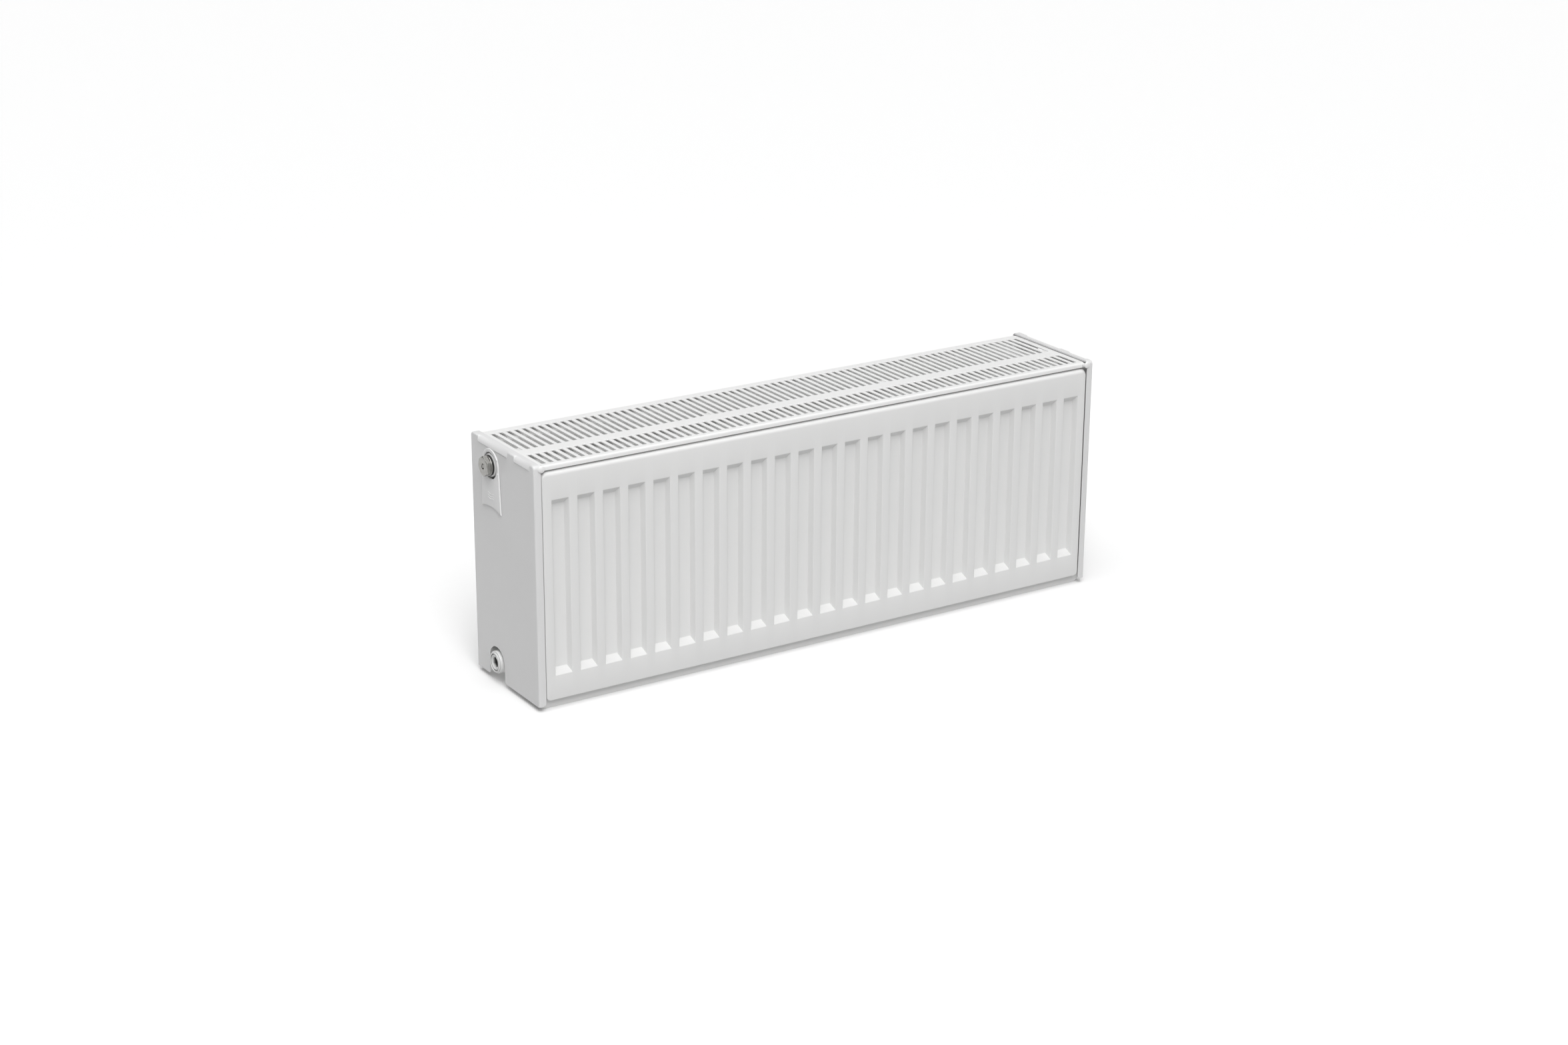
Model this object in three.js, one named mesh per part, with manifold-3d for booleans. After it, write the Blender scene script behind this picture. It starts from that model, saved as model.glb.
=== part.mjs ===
// Type 33 compact panel radiator, 300 x 800 mm, with a bleed valve.
// Three water panels, each of two pressed steel sheets, stand one behind the other. Corrugated
// convector sheets fill the gaps, tees and links join the panels at their corners, and a slotted
// grille and two side covers close the casing. Millimetres, +X along the length, +Y to the wall,
// +Z up. The origin is the centre of the whole part's footprint.
import * as THREE from "three";
import { mergeVertices } from "three/addons/utils/BufferGeometryUtils.js";
import Module from "manifold-3d";

// ---- driving dimensions ------------------------------------------------------------------
const LENGTH = 800;              // over the side covers
const DEPTH = 155;               // over the front and rear panels
const HEIGHT = 300;              // floor of the panels to the rim of the side covers
const CHANNEL_PITCH = 100 / 3;   // one water channel every third of 100 mm
const RECESSES = 23;             // pressed valleys between the water channels

const GAP = 0.3;                 // clearance between pieces that touch on the real radiator

// water panels
const PANEL_HEIGHT = 295.2;
const PANEL_LENGTH = 794;
const PANEL_CORNER_R = 8;
const SHEET = 1.2;
const DEEP_RISE = 8;             // face of the deep sheet above its seam
const SHALLOW_RISE = 2.3;        // face of the shallow sheet above its seam
const FACE_LENGTH = 777.4;       // the two outer sheets
const INNER_FACE_LENGTH = 773;   // the other sheets, clear of the side covers' clips
const FACE_BOTTOM = 12.3;
const FACE_TOP = 285.5;
const STEP_RUN = 3.5;            // slope from the face down to the seam
const TOP_STEP_RUN = 5.5;        // the same along an outer sheet's top edge
const RECESS_BOTTOM = 41;
const RECESS_TOP = 257;
const RECESS_WIDTH = 23.7;
const RECESS_FLOOR_WIDTH = 15.5;
const RECESS_END_RUN = 7;
const MIDDLE_PANEL_FRONT = 52.5; // from the radiator's front face to the middle panel

// convectors
const FIN_SHEET = 0.5;
const FIN_DEPTH = 37;
const FIN_BOTTOM = 46;
const FIN_TOP = 252;
const FIN_LAND = 10;

// ports and the pieces in them
const PORT_LOW = 27;
const PORT_HIGH = 273;
const PORT_DEPTH = 104;          // port axis behind the front face
const PORT_INSET = 28;           // tee centre in from the end of the radiator
const TUBE_R = 12.5;
const TUBE_BORE_R = 10;
const BOSS_R = 13.75;
const BOSS_BORE_R = 9.6;
const BOSS_REACH = 2;            // boss end beyond the side cover
const SHANK_R = 9.3;
const SEAL_R = 0.9;
const VENT_COLLAR_R = 12;
const VENT_COLLAR = 1.2;
const VENT_HEX_ACROSS = 22;
const VENT_HEX = 5.6;
const VENT_CHAMFER = { depth: 2.2, inset: 1.6 };
const VENT_SCREW_R = 2.9;
const VENT_SCREW_BORE_R = 3.2;
const VENT_SCREW_LENGTH = 12;
const VENT_SCREW_SQUARE = 4.2;
const VENT_SCREW_SHOULDER = 4;   // root of the screw's square end, behind the face of the hexagon
const VENT_SCREW_SUNK = 0.4;
const VENT_SEAT_R = 1.4;
const VENT_OUTLET_R = 1;
const VENT_SEAL_RING_R = 10.6;
const PLUG_SHANK = 13;
const BLANK_FLANGE_R = 12.4;
const BLANK_FLANGE = 1.5;
const BLANK_SOCKET_ACROSS = 12;
const BLANK_SOCKET_DEPTH = 10;
const BLANK_SEAL_R = 0.4;
const BLANK_SEAL_RING_R = 10.2;

// casing
const COVER_SHEET = 0.8;
const COVER_WIDTH = 9.3;
const COVER_BOTTOM = 6;
const COVER_HOLE_R = 17;
const COVER_NOTCH_R = 19;
const GRILLE_SHEET = 1;
const GRILLE_TOP = 297.7;
const GRILLE_INSET = 3.1;
const GRILLE_SKIRT = 5.6;
const GRILLE_END_GAP = 0.8;
const SLOTS = 76;
const SLOT_SPAN = 760;           // first slot centre to last slot centre
const SLOT_WIDTH = 5.2;
const SLOT_ROWS = [[12.1, 49.6], [68.1, 139.6]];

// clips, badge and lugs
const CLIP_SHEET = 0.8;
const CLIP_WIDTH = 12;
const CLIP_LEG = 6;
const CLIP_WING = 16;
const GRILLE_CLIP_X = [-382, -128, 128, 382];
const COVER_CLIP_WIDTH = 20;
const COVER_CLIP_LEG = 7;
const COVER_CLIP_Z = { lower: 80, upper: 205 };
const BADGE_DEPTH = 3.2;
const BADGE_TOP_HALF = 20;
const BADGE_FOOT_HALF = 23.5;
const BADGE_FOOT_Z = 218;
const BADGE_FOOT_RISE = 4;
const LUG_SHEET = 1.5;
const LUG_DEPTH = 6.5;
const LUG_HEIGHT = 40;
const LUG_BRIDGE_HALF = 11;
const LUG_SLOPE = 2;
const LUG_FOOT = 4.5;            // foot on each side of the middle of its water channel
const LUG_COLUMN = 7;            // lugs straddle the 7th recess each side of the middle one
const LUG_Z = { lower: 50, upper: 205 };

// ---- derived places ----------------------------------------------------------------------
const END_X = LENGTH / 2;
const FRONT_Y = -DEPTH / 2;
const REAR_Y = DEPTH / 2;
const TEE_X = END_X - PORT_INSET;
const BOSS_X = END_X + BOSS_REACH;
const PORT_Y = FRONT_Y + PORT_DEPTH;
const COVER_INNER_X = END_X - COVER_WIDTH;
const PANEL_DEPTH = DEEP_RISE + 2 * SHEET + GAP + SHALLOW_RISE;
const MIDDLE_Y = FRONT_Y + MIDDLE_PANEL_FRONT;
const FRONT_GAP = [FRONT_Y + PANEL_DEPTH + GAP, MIDDLE_Y - GAP];
const REAR_GAP = [MIDDLE_Y + PANEL_DEPTH + GAP, REAR_Y - PANEL_DEPTH - GAP];
const SEAL_X = BOSS_X + GAP + SEAL_R;
const COLLAR_X = SEAL_X + SEAL_R + GAP;
const HEX_X = COLLAR_X + VENT_COLLAR;
const VENT_FACE_X = HEX_X + VENT_HEX;
const BLANK_FACE_X = BOSS_X + GAP + BLANK_FLANGE;
const MIDDLE_SEAM = [MIDDLE_Y + DEEP_RISE, MIDDLE_Y + DEEP_RISE + 2 * SHEET + GAP];

// ---- materials ---------------------------------------------------------------------------
const paint = (color, roughness, metalness) =>
  new THREE.MeshStandardMaterial({ color, roughness, metalness });
const enamel = paint(0xf1f1f0, 0.35, 0);
const coverEnamel = paint(0xeeeeed, 0.38, 0);
const badgePlastic = paint(0xf4f4f3, 0.5, 0);
const plugEnamel = paint(0xe4e4e3, 0.4, 0);
const nickel = paint(0xa5a29c, 0.25, 1);
const rubber = paint(0x111111, 0.75, 0);
const springSteel = paint(0xe2e2e0, 0.45, 0.2);

// ---- solids ------------------------------------------------------------------------------
const wasm = await Module();
wasm.setup();

function toSolid(geometry) {
  const bare = geometry.clone();
  bare.deleteAttribute("normal");
  bare.deleteAttribute("uv");
  const merged = mergeVertices(bare, 1e-4);
  return new wasm.Manifold(new wasm.Mesh({
    numProp: 3,
    vertProperties: new Float32Array(merged.attributes.position.array),
    triVerts: new Uint32Array(merged.index.array),
  }));
}

function toGeometry(solid) {
  const mesh = solid.getMesh();
  const geometry = new THREE.BufferGeometry();
  geometry.setAttribute("position", new THREE.BufferAttribute(mesh.vertProperties, 3));
  geometry.setIndex(new THREE.BufferAttribute(mesh.triVerts, 1));
  return geometry;
}

const unite = (solids) => solids.reduce((whole, solid) => whole.add(solid));
const cut = (whole, solids) => solids.reduce((left, solid) => left.subtract(solid), whole);

function boxSolid([x0, x1], [y0, y1], [z0, z1]) {
  const box = new THREE.BoxGeometry(x1 - x0, y1 - y0, z1 - z0);
  box.translate((x0 + x1) / 2, (y0 + y1) / 2, (z0 + z1) / 2);
  return toSolid(box);
}

// A cylinder along "x", "y" or "z" between two places on that axis.
function rodSolid(radius, axis, [from, to], [x, y, z], segments = 20) {
  const rod = new THREE.CylinderGeometry(radius, radius, to - from, segments);
  if (axis === "x") rod.rotateZ(-Math.PI / 2);
  if (axis === "z") rod.rotateX(Math.PI / 2);
  const middle = (from + to) / 2;
  rod.translate(
    axis === "x" ? middle : x,
    axis === "y" ? middle : y,
    axis === "z" ? middle : z,
  );
  return toSolid(rod);
}

// A block whose rectangle at the low level turns evenly into another at the high level. Each
// rectangle is [x0, x1, y0, y1].
function taperSolid(low, high, zLow, zHigh) {
  const block = new THREE.BoxGeometry(1, 1, 1);
  const corners = block.attributes.position;
  for (let i = 0; i < corners.count; i += 1) {
    const atTop = corners.getZ(i) > 0;
    const [x0, x1, y0, y1] = atTop ? high : low;
    corners.setXYZ(
      i,
      corners.getX(i) > 0 ? x1 : x0,
      corners.getY(i) > 0 ? y1 : y0,
      atTop ? zHigh : zLow,
    );
  }
  return toSolid(block);
}

const grown = ([x0, x1, y0, y1], dx, dy) => [x0 - dx, x1 + dx, y0 - dy, y1 + dy];

function polygon(points) {
  return new THREE.Shape(points.map(([x, y]) => new THREE.Vector2(x, y)));
}

function extruded(shape, depth, curveSegments = 6) {
  return new THREE.ExtrudeGeometry(shape, { depth, bevelEnabled: false, curveSegments });
}

// The outline of a bent sheet: an open line of corners, thickened by half each way.
function ribbon(line, thickness) {
  const half = thickness / 2;
  const side = (sign) => line.map(([x, y], i) => {
    const before = line[Math.max(i - 1, 0)];
    const after = line[Math.min(i + 1, line.length - 1)];
    const a = new THREE.Vector2(x - before[0], y - before[1]).normalize();
    const b = new THREE.Vector2(after[0] - x, after[1] - y).normalize();
    const first = a.lengthSq() > 0 ? a : b;
    const second = b.lengthSq() > 0 ? b : a;
    const across = new THREE.Vector2(-first.y - second.y, first.x + second.x).normalize();
    const reach = (sign * half) / across.dot(new THREE.Vector2(-first.y, first.x));
    return [x + across.x * reach, y + across.y * reach];
  });
  return polygon([...side(1), ...side(-1).reverse()]);
}

// ---- assembly ----------------------------------------------------------------------------
const radiator = new THREE.Group();
radiator.position.set((VENT_FACE_X - BOSS_X) / 2, -LUG_DEPTH / 2, 0);

function addPiece(name, geometry, material, position = [0, 0, 0], rotation = [0, 0, 0]) {
  const piece = new THREE.Mesh(geometry, material);
  piece.name = name;
  piece.position.set(...position);
  piece.rotation.set(...rotation);
  radiator.add(piece);
}

// ---- water panels ------------------------------------------------------------------------
// A pressed sheet lies in X and Y with its back at z = 0. Its seam flange runs all round, the
// face stands above it, and the recesses come back down to the seam, where they are welded.
function seamOutline() {
  const half = PANEL_LENGTH / 2;
  const r = PANEL_CORNER_R;
  const outline = new THREE.Shape();
  outline.moveTo(-half + r, 0);
  outline.lineTo(half - r, 0);
  outline.absarc(half - r, r, r, -Math.PI / 2, 0);
  outline.lineTo(half, PANEL_HEIGHT - r);
  outline.absarc(half - r, PANEL_HEIGHT - r, r, 0, Math.PI / 2);
  outline.lineTo(-half + r, PANEL_HEIGHT);
  outline.absarc(-half + r, PANEL_HEIGHT - r, r, Math.PI / 2, Math.PI);
  outline.lineTo(-half, r);
  outline.absarc(-half + r, r, r, Math.PI, Math.PI * 1.5);
  return outline;
}

function pressedBody(rise, ported) {
  const backing = 5;
  const flange = extruded(seamOutline(), backing + SHEET, 3);
  flange.translate(0, 0, -backing);
  const half = (ported ? INNER_FACE_LENGTH : FACE_LENGTH) / 2;
  const face = [-half, half, FACE_BOTTOM, FACE_TOP];
  const over = 1 + 1 / rise;
  const foot = grown(face, STEP_RUN * over, STEP_RUN * over);
  foot[3] = FACE_TOP + (ported ? STEP_RUN : TOP_STEP_RUN) * over;
  const pan = taperSolid(foot, face, SHEET - 1, SHEET + rise);
  const sideRun = (RECESS_WIDTH - RECESS_FLOOR_WIDTH) / 2;
  const recesses = [];
  for (let k = 0; k < RECESSES; k += 1) {
    const x = (k - (RECESSES - 1) / 2) * CHANNEL_PITCH;
    const reach = RECESS_FLOOR_WIDTH / 2;
    const floor = [
      x - reach, x + reach, RECESS_BOTTOM + RECESS_END_RUN, RECESS_TOP - RECESS_END_RUN,
    ];
    const mouth = grown(floor, sideRun * over, RECESS_END_RUN * over);
    recesses.push(taperSolid(floor, mouth, SHEET, SHEET + rise * over));
  }
  return cut(toSolid(flange).add(pan), recesses);
}

function pressedSheet(rise, ported) {
  const body = pressedBody(rise, ported);
  let sheet = body.subtract(body.translate([0, 0, -SHEET]));
  if (ported) {
    const places = [-TEE_X, TEE_X].flatMap((x) => [[x, PORT_LOW], [x, PORT_HIGH]]);
    const through = [-1, SHEET + rise + 1];
    sheet = cut(sheet, places.map(([x, z]) => rodSolid(TUBE_BORE_R, "z", through, [x, z, 0], 12)));
  }
  return toGeometry(sheet);
}

// The seam is where the two sheets' backs meet. facing is -1 for a sheet that faces the room and
// 1 for one that faces the wall.
function addSheet(name, rise, ported, seamY, facing) {
  const turn = facing < 0 ? [Math.PI / 2, 0, 0] : [-Math.PI / 2, 0, Math.PI];
  addPiece(name, pressedSheet(rise, ported), enamel, [0, seamY + (facing * GAP) / 2, 0], turn);
}

const deepSeam = DEEP_RISE + SHEET + GAP / 2;
addSheet("front_panel_outer_sheet", DEEP_RISE, false, FRONT_Y + deepSeam, -1);
addSheet("front_panel_inner_sheet", SHALLOW_RISE, true, FRONT_Y + deepSeam, 1);
addSheet("middle_panel_front_sheet", DEEP_RISE, true, MIDDLE_Y + deepSeam, -1);
addSheet("middle_panel_rear_sheet", SHALLOW_RISE, true, MIDDLE_Y + deepSeam, 1);
addSheet("rear_panel_inner_sheet", SHALLOW_RISE, true, REAR_Y - deepSeam, -1);
addSheet("rear_panel_outer_sheet", DEEP_RISE, false, REAR_Y - deepSeam, 1);

// ---- convectors --------------------------------------------------------------------------
// One wave for each water channel: a land welded on the channel, two walls and a crest.
function convectorGeometry() {
  const channels = RECESSES + 1;
  const line = [];
  for (let i = 0; i < channels; i += 1) {
    const x = (i - (channels - 1) / 2) * CHANNEL_PITCH;
    line.push([x - FIN_LAND / 2, 0], [x + FIN_LAND / 2, 0]);
    if (i < channels - 1) {
      const crest = x + CHANNEL_PITCH / 2;
      line.push([crest - FIN_LAND / 2, FIN_DEPTH], [crest + FIN_LAND / 2, FIN_DEPTH]);
    }
  }
  return extruded(ribbon(line, FIN_SHEET), FIN_TOP - FIN_BOTTOM);
}

const fin = FIN_SHEET / 2;
addPiece("front_convector", convectorGeometry(), enamel, [0, FRONT_GAP[0] + fin, FIN_BOTTOM]);
addPiece("middle_convector", convectorGeometry(), enamel, [0, REAR_GAP[0] + fin, FIN_BOTTOM]);
addPiece(
  "rear_convector", convectorGeometry(), enamel,
  [0, REAR_GAP[1] - fin, FIN_BOTTOM], [0, 0, Math.PI],
);

// ---- tees and links between the panels ---------------------------------------------------
function teeGeometry(side, z) {
  const centre = [side * TEE_X, 0, z];
  const branchAt = [0, PORT_Y, z];
  const span = side < 0 ? [-BOSS_X, -TEE_X] : [TEE_X, BOSS_X];
  const beyond = side < 0 ? [-BOSS_X - 1, -TEE_X] : [TEE_X, BOSS_X + 1];
  const outside = rodSolid(TUBE_R, "y", REAR_GAP, centre).add(
    rodSolid(BOSS_R, "x", span, branchAt),
  );
  return toGeometry(cut(outside, [
    rodSolid(TUBE_BORE_R, "y", [REAR_GAP[0] - 1, REAR_GAP[1] + 1], centre),
    rodSolid(BOSS_BORE_R, "x", beyond, branchAt),
  ]));
}

function linkGeometry(side, z) {
  const centre = [side * TEE_X, 0, z];
  const through = [FRONT_GAP[0] - 1, FRONT_GAP[1] + 1];
  return toGeometry(rodSolid(TUBE_R, "y", FRONT_GAP, centre).subtract(
    rodSolid(TUBE_BORE_R, "y", through, centre),
  ));
}

const SIDES = { left: -1, right: 1 };
const LEVELS = { top: PORT_HIGH, bottom: PORT_LOW };
for (const [sideName, side] of Object.entries(SIDES)) {
  for (const [levelName, z] of Object.entries(LEVELS)) {
    addPiece(`tee_${levelName}_${sideName}`, teeGeometry(side, z), enamel);
    addPiece(`link_${levelName}_${sideName}`, linkGeometry(side, z), enamel);
  }
}

// ---- bleed valve in the top left port ----------------------------------------------------
// Lathe profiles run from the inner end of the plug outwards, so the pieces are turned to lie
// along -X with their outer end to the left.
const OUTWARDS = [0, 0, Math.PI / 2];
const lathe = (points, segments) =>
  new THREE.LatheGeometry(points.map(([r, l]) => new THREE.Vector2(r, l)), segments);

function hexShape(across) {
  const corners = [];
  for (let i = 0; i < 6; i += 1) {
    const angle = (i + 0.5) * (Math.PI / 3);
    corners.push([
      (across / Math.sqrt(3)) * Math.cos(angle), (across / Math.sqrt(3)) * Math.sin(angle),
    ]);
  }
  return polygon(corners);
}

// A hexagonal bar standing on the turning axis (+Y) of the lathe profiles.
function hexBar(across, [from, to]) {
  const bar = extruded(hexShape(across), to - from);
  bar.rotateX(-Math.PI / 2);
  bar.translate(0, from, 0);
  return toSolid(bar);
}

function ventBodyGeometry() {
  const collar = -VENT_HEX - VENT_COLLAR;
  const boreEnd = -VENT_SCREW_LENGTH - 2 * GAP;
  const corner = VENT_HEX_ACROSS / Math.sqrt(3);
  const shank = toSolid(lathe([
    [0, collar - PLUG_SHANK], [SHANK_R - 1, collar - PLUG_SHANK],
    [SHANK_R, collar - PLUG_SHANK + 1], [SHANK_R, collar],
    [VENT_COLLAR_R, collar], [VENT_COLLAR_R, -VENT_HEX], [0, -VENT_HEX],
  ], 24));
  const chamfered = toSolid(lathe([
    [0, -VENT_HEX - 0.5], [corner + 1, -VENT_HEX - 0.5], [corner + 1, -VENT_CHAMFER.depth],
    [VENT_HEX_ACROSS / 2 - VENT_CHAMFER.inset, 0], [0, 0],
  ], 24));
  const hex = hexBar(VENT_HEX_ACROSS, [-VENT_HEX - 0.5, 0]).intersect(chamfered);
  const bore = toSolid(lathe([
    [0, boreEnd], [VENT_SCREW_BORE_R, boreEnd], [VENT_SCREW_BORE_R, 1], [0, 1],
  ], 16));
  const seat = rodSolid(VENT_SEAT_R, "y", [collar - PLUG_SHANK - 1, 0], [0, 0, 0], 12);
  const outlet = rodSolid(VENT_OUTLET_R, "x", [0, corner], [0, -VENT_HEX / 2, 0], 10);
  return toGeometry(cut(unite([shank, hex]), [bore, seat, outlet]));
}

function ventScrewGeometry() {
  const shoulder = -VENT_SCREW_SHOULDER;
  const squareHalf = VENT_SCREW_SQUARE / 2;
  const stem = toSolid(lathe([
    [0, -VENT_SCREW_LENGTH], [VENT_SEAT_R - GAP, -VENT_SCREW_LENGTH],
    [VENT_SCREW_R, -VENT_SCREW_LENGTH + 2], [VENT_SCREW_R, shoulder], [0, shoulder],
  ], 16));
  const head = [shoulder - 1, -VENT_SCREW_SUNK];
  const square = boxSolid([-squareHalf, squareHalf], head, [-squareHalf, squareHalf]);
  const turned = rodSolid(VENT_SCREW_R, "y", head, [0, 0, 0], 16);
  return toGeometry(stem.add(square.intersect(turned)));
}

function ventSealGeometry() {
  const sides = 6;
  const profile = [];
  for (let i = 0; i <= sides; i += 1) {
    const angle = (i / sides) * 2 * Math.PI;
    profile.push([VENT_SEAL_RING_R + SEAL_R * Math.cos(angle), SEAL_R * Math.sin(angle)]);
  }
  return lathe(profile, 20);
}

const ventFace = [-VENT_FACE_X, PORT_Y, PORT_HIGH];
addPiece("vent_plug_body", ventBodyGeometry(), nickel, ventFace, OUTWARDS);
addPiece("vent_screw", ventScrewGeometry(), nickel, ventFace, OUTWARDS);
addPiece("vent_seal", ventSealGeometry(), rubber, [-SEAL_X, PORT_Y, PORT_HIGH], OUTWARDS);

// ---- blanking plug in the bottom left port -----------------------------------------------
// Its flange covers the boss, its seal lies in a groove behind the flange.
function blankPlugGeometry() {
  const back = -BLANK_FLANGE;
  const body = toSolid(lathe([
    [0, back - PLUG_SHANK], [SHANK_R - 1, back - PLUG_SHANK], [SHANK_R, back - PLUG_SHANK + 1],
    [SHANK_R, back], [BLANK_FLANGE_R, back], [BLANK_FLANGE_R, -0.5],
    [BLANK_FLANGE_R - 0.5, 0], [0, 0],
  ], 20));
  const grooved = { inner: SHANK_R + 0.1, outer: BLANK_SEAL_RING_R + BLANK_SEAL_R + 0.5 };
  const depth = 2 * BLANK_SEAL_R + 0.1;
  const groove = toSolid(lathe([
    [grooved.inner, back - 0.5], [grooved.outer, back - 0.5],
    [grooved.outer, back + depth], [grooved.inner, back + depth],
    [grooved.inner, back - 0.5],
  ], 20));
  const socket = hexBar(BLANK_SOCKET_ACROSS, [-BLANK_SOCKET_DEPTH, 1]);
  return toGeometry(cut(body, [groove, socket]));
}

function blankSealGeometry() {
  const r = BLANK_SEAL_R;
  return lathe([
    [BLANK_SEAL_RING_R - r, -r], [BLANK_SEAL_RING_R + r, -r], [BLANK_SEAL_RING_R + r, r],
    [BLANK_SEAL_RING_R - r, r], [BLANK_SEAL_RING_R - r, -r],
  ], 20);
}

addPiece(
  "blanking_plug", blankPlugGeometry(), plugEnamel, [-BLANK_FACE_X, PORT_Y, PORT_LOW], OUTWARDS,
);
addPiece(
  "blanking_plug_seal", blankSealGeometry(), rubber,
  [-BOSS_X - GAP - BLANK_SEAL_R, PORT_Y, PORT_LOW], OUTWARDS,
);

// ---- top grille --------------------------------------------------------------------------
function grilleGeometry() {
  const half = COVER_INNER_X - GRILLE_END_GAP;
  const plateZ = [GRILLE_TOP - GRILLE_SHEET, GRILLE_TOP];
  const skirtZ = [GRILLE_TOP - GRILLE_SKIRT, GRILLE_TOP];
  const [front, rear] = [FRONT_Y + GRILLE_INSET, REAR_Y - GRILLE_INSET];
  const channel = unite([
    boxSolid([-half, half], [front, rear], plateZ),
    boxSolid([-half, half], [front, front + GRILLE_SHEET], skirtZ),
    boxSolid([-half, half], [rear - GRILLE_SHEET, rear], skirtZ),
  ]);
  const through = [plateZ[0] - 1, plateZ[1] + 1];
  const slots = [];
  for (const [near, far] of SLOT_ROWS) {
    for (let i = 0; i < SLOTS; i += 1) {
      const x = -SLOT_SPAN / 2 + (i * SLOT_SPAN) / (SLOTS - 1);
      const across = [x - SLOT_WIDTH / 2, x + SLOT_WIDTH / 2];
      slots.push(boxSolid(across, [FRONT_Y + near, FRONT_Y + far], through));
    }
  }
  return toGeometry(cut(channel, slots));
}

addPiece("top_grille", grilleGeometry(), enamel);

// Spring clips under the grille grip the top seam of the middle panel. The wing reaches back
// under the slots.
function grilleClipGeometry() {
  const out = CLIP_SHEET / 2 + GAP;
  const seam = MIDDLE_SEAM;
  const z = PANEL_HEIGHT + out;
  const half = CLIP_WIDTH / 2;
  const line = [
    [seam[0] - out, z - CLIP_LEG], [seam[0] - out, z], [seam[1] + CLIP_WING, z],
  ];
  const hook = extruded(ribbon(line, CLIP_SHEET), CLIP_WIDTH);
  hook.rotateX(Math.PI / 2);
  hook.rotateZ(Math.PI / 2);
  hook.translate(-half, 0, 0);
  const leg = boxSolid(
    [-half, half], [seam[1] + GAP, seam[1] + GAP + CLIP_SHEET], [z - CLIP_LEG, z],
  );
  return toGeometry(toSolid(hook).add(leg));
}

GRILLE_CLIP_X.forEach((x, i) => {
  addPiece(`grille_clip_${i + 1}`, grilleClipGeometry(), springSteel, [x, 0, 0]);
});

// ---- side covers -------------------------------------------------------------------------
// A shallow pan, open inwards and at the bottom. Both port openings go right through it.
function coverGeometry(side) {
  const outer = [COVER_INNER_X, END_X];
  const inner = [COVER_INNER_X - 1, END_X - COVER_SHEET];
  const onSide = ([a, b]) => (side < 0 ? [-b, -a] : [a, b]);
  const shell = boxSolid(onSide(outer), [FRONT_Y, REAR_Y], [COVER_BOTTOM, HEIGHT]);
  const hollow = boxSolid(
    onSide(inner), [FRONT_Y + COVER_SHEET, REAR_Y - COVER_SHEET],
    [COVER_BOTTOM - 1, HEIGHT - COVER_SHEET],
  );
  const through = onSide([END_X - 2, END_X + 1]);
  const hole = rodSolid(COVER_HOLE_R, "x", through, [0, PORT_Y, PORT_HIGH], 32);
  const arch = rodSolid(COVER_NOTCH_R, "x", through, [0, PORT_Y, PORT_LOW], 32);
  const mouth = boxSolid(
    through, [PORT_Y - COVER_NOTCH_R, PORT_Y + COVER_NOTCH_R], [COVER_BOTTOM - 1, PORT_LOW],
  );
  return toGeometry(cut(shell, [hollow, hole, arch, mouth]));
}

// Spring clips inside the cover grip the side seam of the middle panel.
function coverClipGeometry(side) {
  const out = CLIP_SHEET / 2 + GAP;
  const web = END_X - COVER_SHEET - out;
  const line = [
    [side * (web - COVER_CLIP_LEG), MIDDLE_SEAM[0] - out], [side * web, MIDDLE_SEAM[0] - out],
    [side * web, MIDDLE_SEAM[1] + out], [side * (web - COVER_CLIP_LEG), MIDDLE_SEAM[1] + out],
  ];
  return extruded(ribbon(line, CLIP_SHEET), COVER_CLIP_WIDTH);
}

for (const [sideName, side] of Object.entries(SIDES)) {
  addPiece(`${sideName}_side_cover`, coverGeometry(side), coverEnamel);
  for (const [levelName, z] of Object.entries(COVER_CLIP_Z)) {
    addPiece(
      `${sideName}_cover_clip_${levelName}`, coverClipGeometry(side), springSteel, [0, 0, z],
    );
  }
}

// ---- badge round the bleed valve ---------------------------------------------------------
// A plate with an arched top round the port, straight flared sides and a hollowed foot.
function badgeGeometry() {
  const height = PORT_HIGH - BADGE_FOOT_Z;
  const outline = new THREE.Shape();
  outline.moveTo(BADGE_TOP_HALF, 0);
  outline.absarc(0, 0, BADGE_TOP_HALF, 0, Math.PI);
  outline.lineTo(-BADGE_FOOT_HALF, -height);
  outline.quadraticCurveTo(0, -height + 2 * BADGE_FOOT_RISE, BADGE_FOOT_HALF, -height);
  const hole = new THREE.Path();
  hole.absarc(0, 0, COVER_HOLE_R, 0, Math.PI * 2, true);
  outline.holes.push(hole);
  return extruded(outline, BADGE_DEPTH, 12);
}

addPiece(
  "port_badge", badgeGeometry(), badgePlastic,
  [-END_X - GAP, PORT_Y, PORT_HIGH], [Math.PI / 2, -Math.PI / 2, 0],
);

// ---- hanging lugs on the back ------------------------------------------------------------
// Hat-shaped straps, each welded on two water channels, with room behind for a bracket's hook.
function lugGeometry() {
  const foot = CHANNEL_PITCH / 2;
  const low = GAP + LUG_SHEET / 2;
  const high = LUG_DEPTH - LUG_SHEET / 2;
  const line = [
    [-foot - LUG_FOOT, low], [-LUG_BRIDGE_HALF - LUG_SLOPE, low], [-LUG_BRIDGE_HALF, high],
    [LUG_BRIDGE_HALF, high], [LUG_BRIDGE_HALF + LUG_SLOPE, low], [foot + LUG_FOOT, low],
  ];
  return extruded(ribbon(line, LUG_SHEET), LUG_HEIGHT);
}

for (const [sideName, side] of Object.entries(SIDES)) {
  for (const [levelName, z] of Object.entries(LUG_Z)) {
    const x = side * LUG_COLUMN * CHANNEL_PITCH;
    addPiece(`${levelName}_${sideName}_lug`, lugGeometry(), enamel, [x, REAR_Y, z]);
  }
}

export default radiator;
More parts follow.
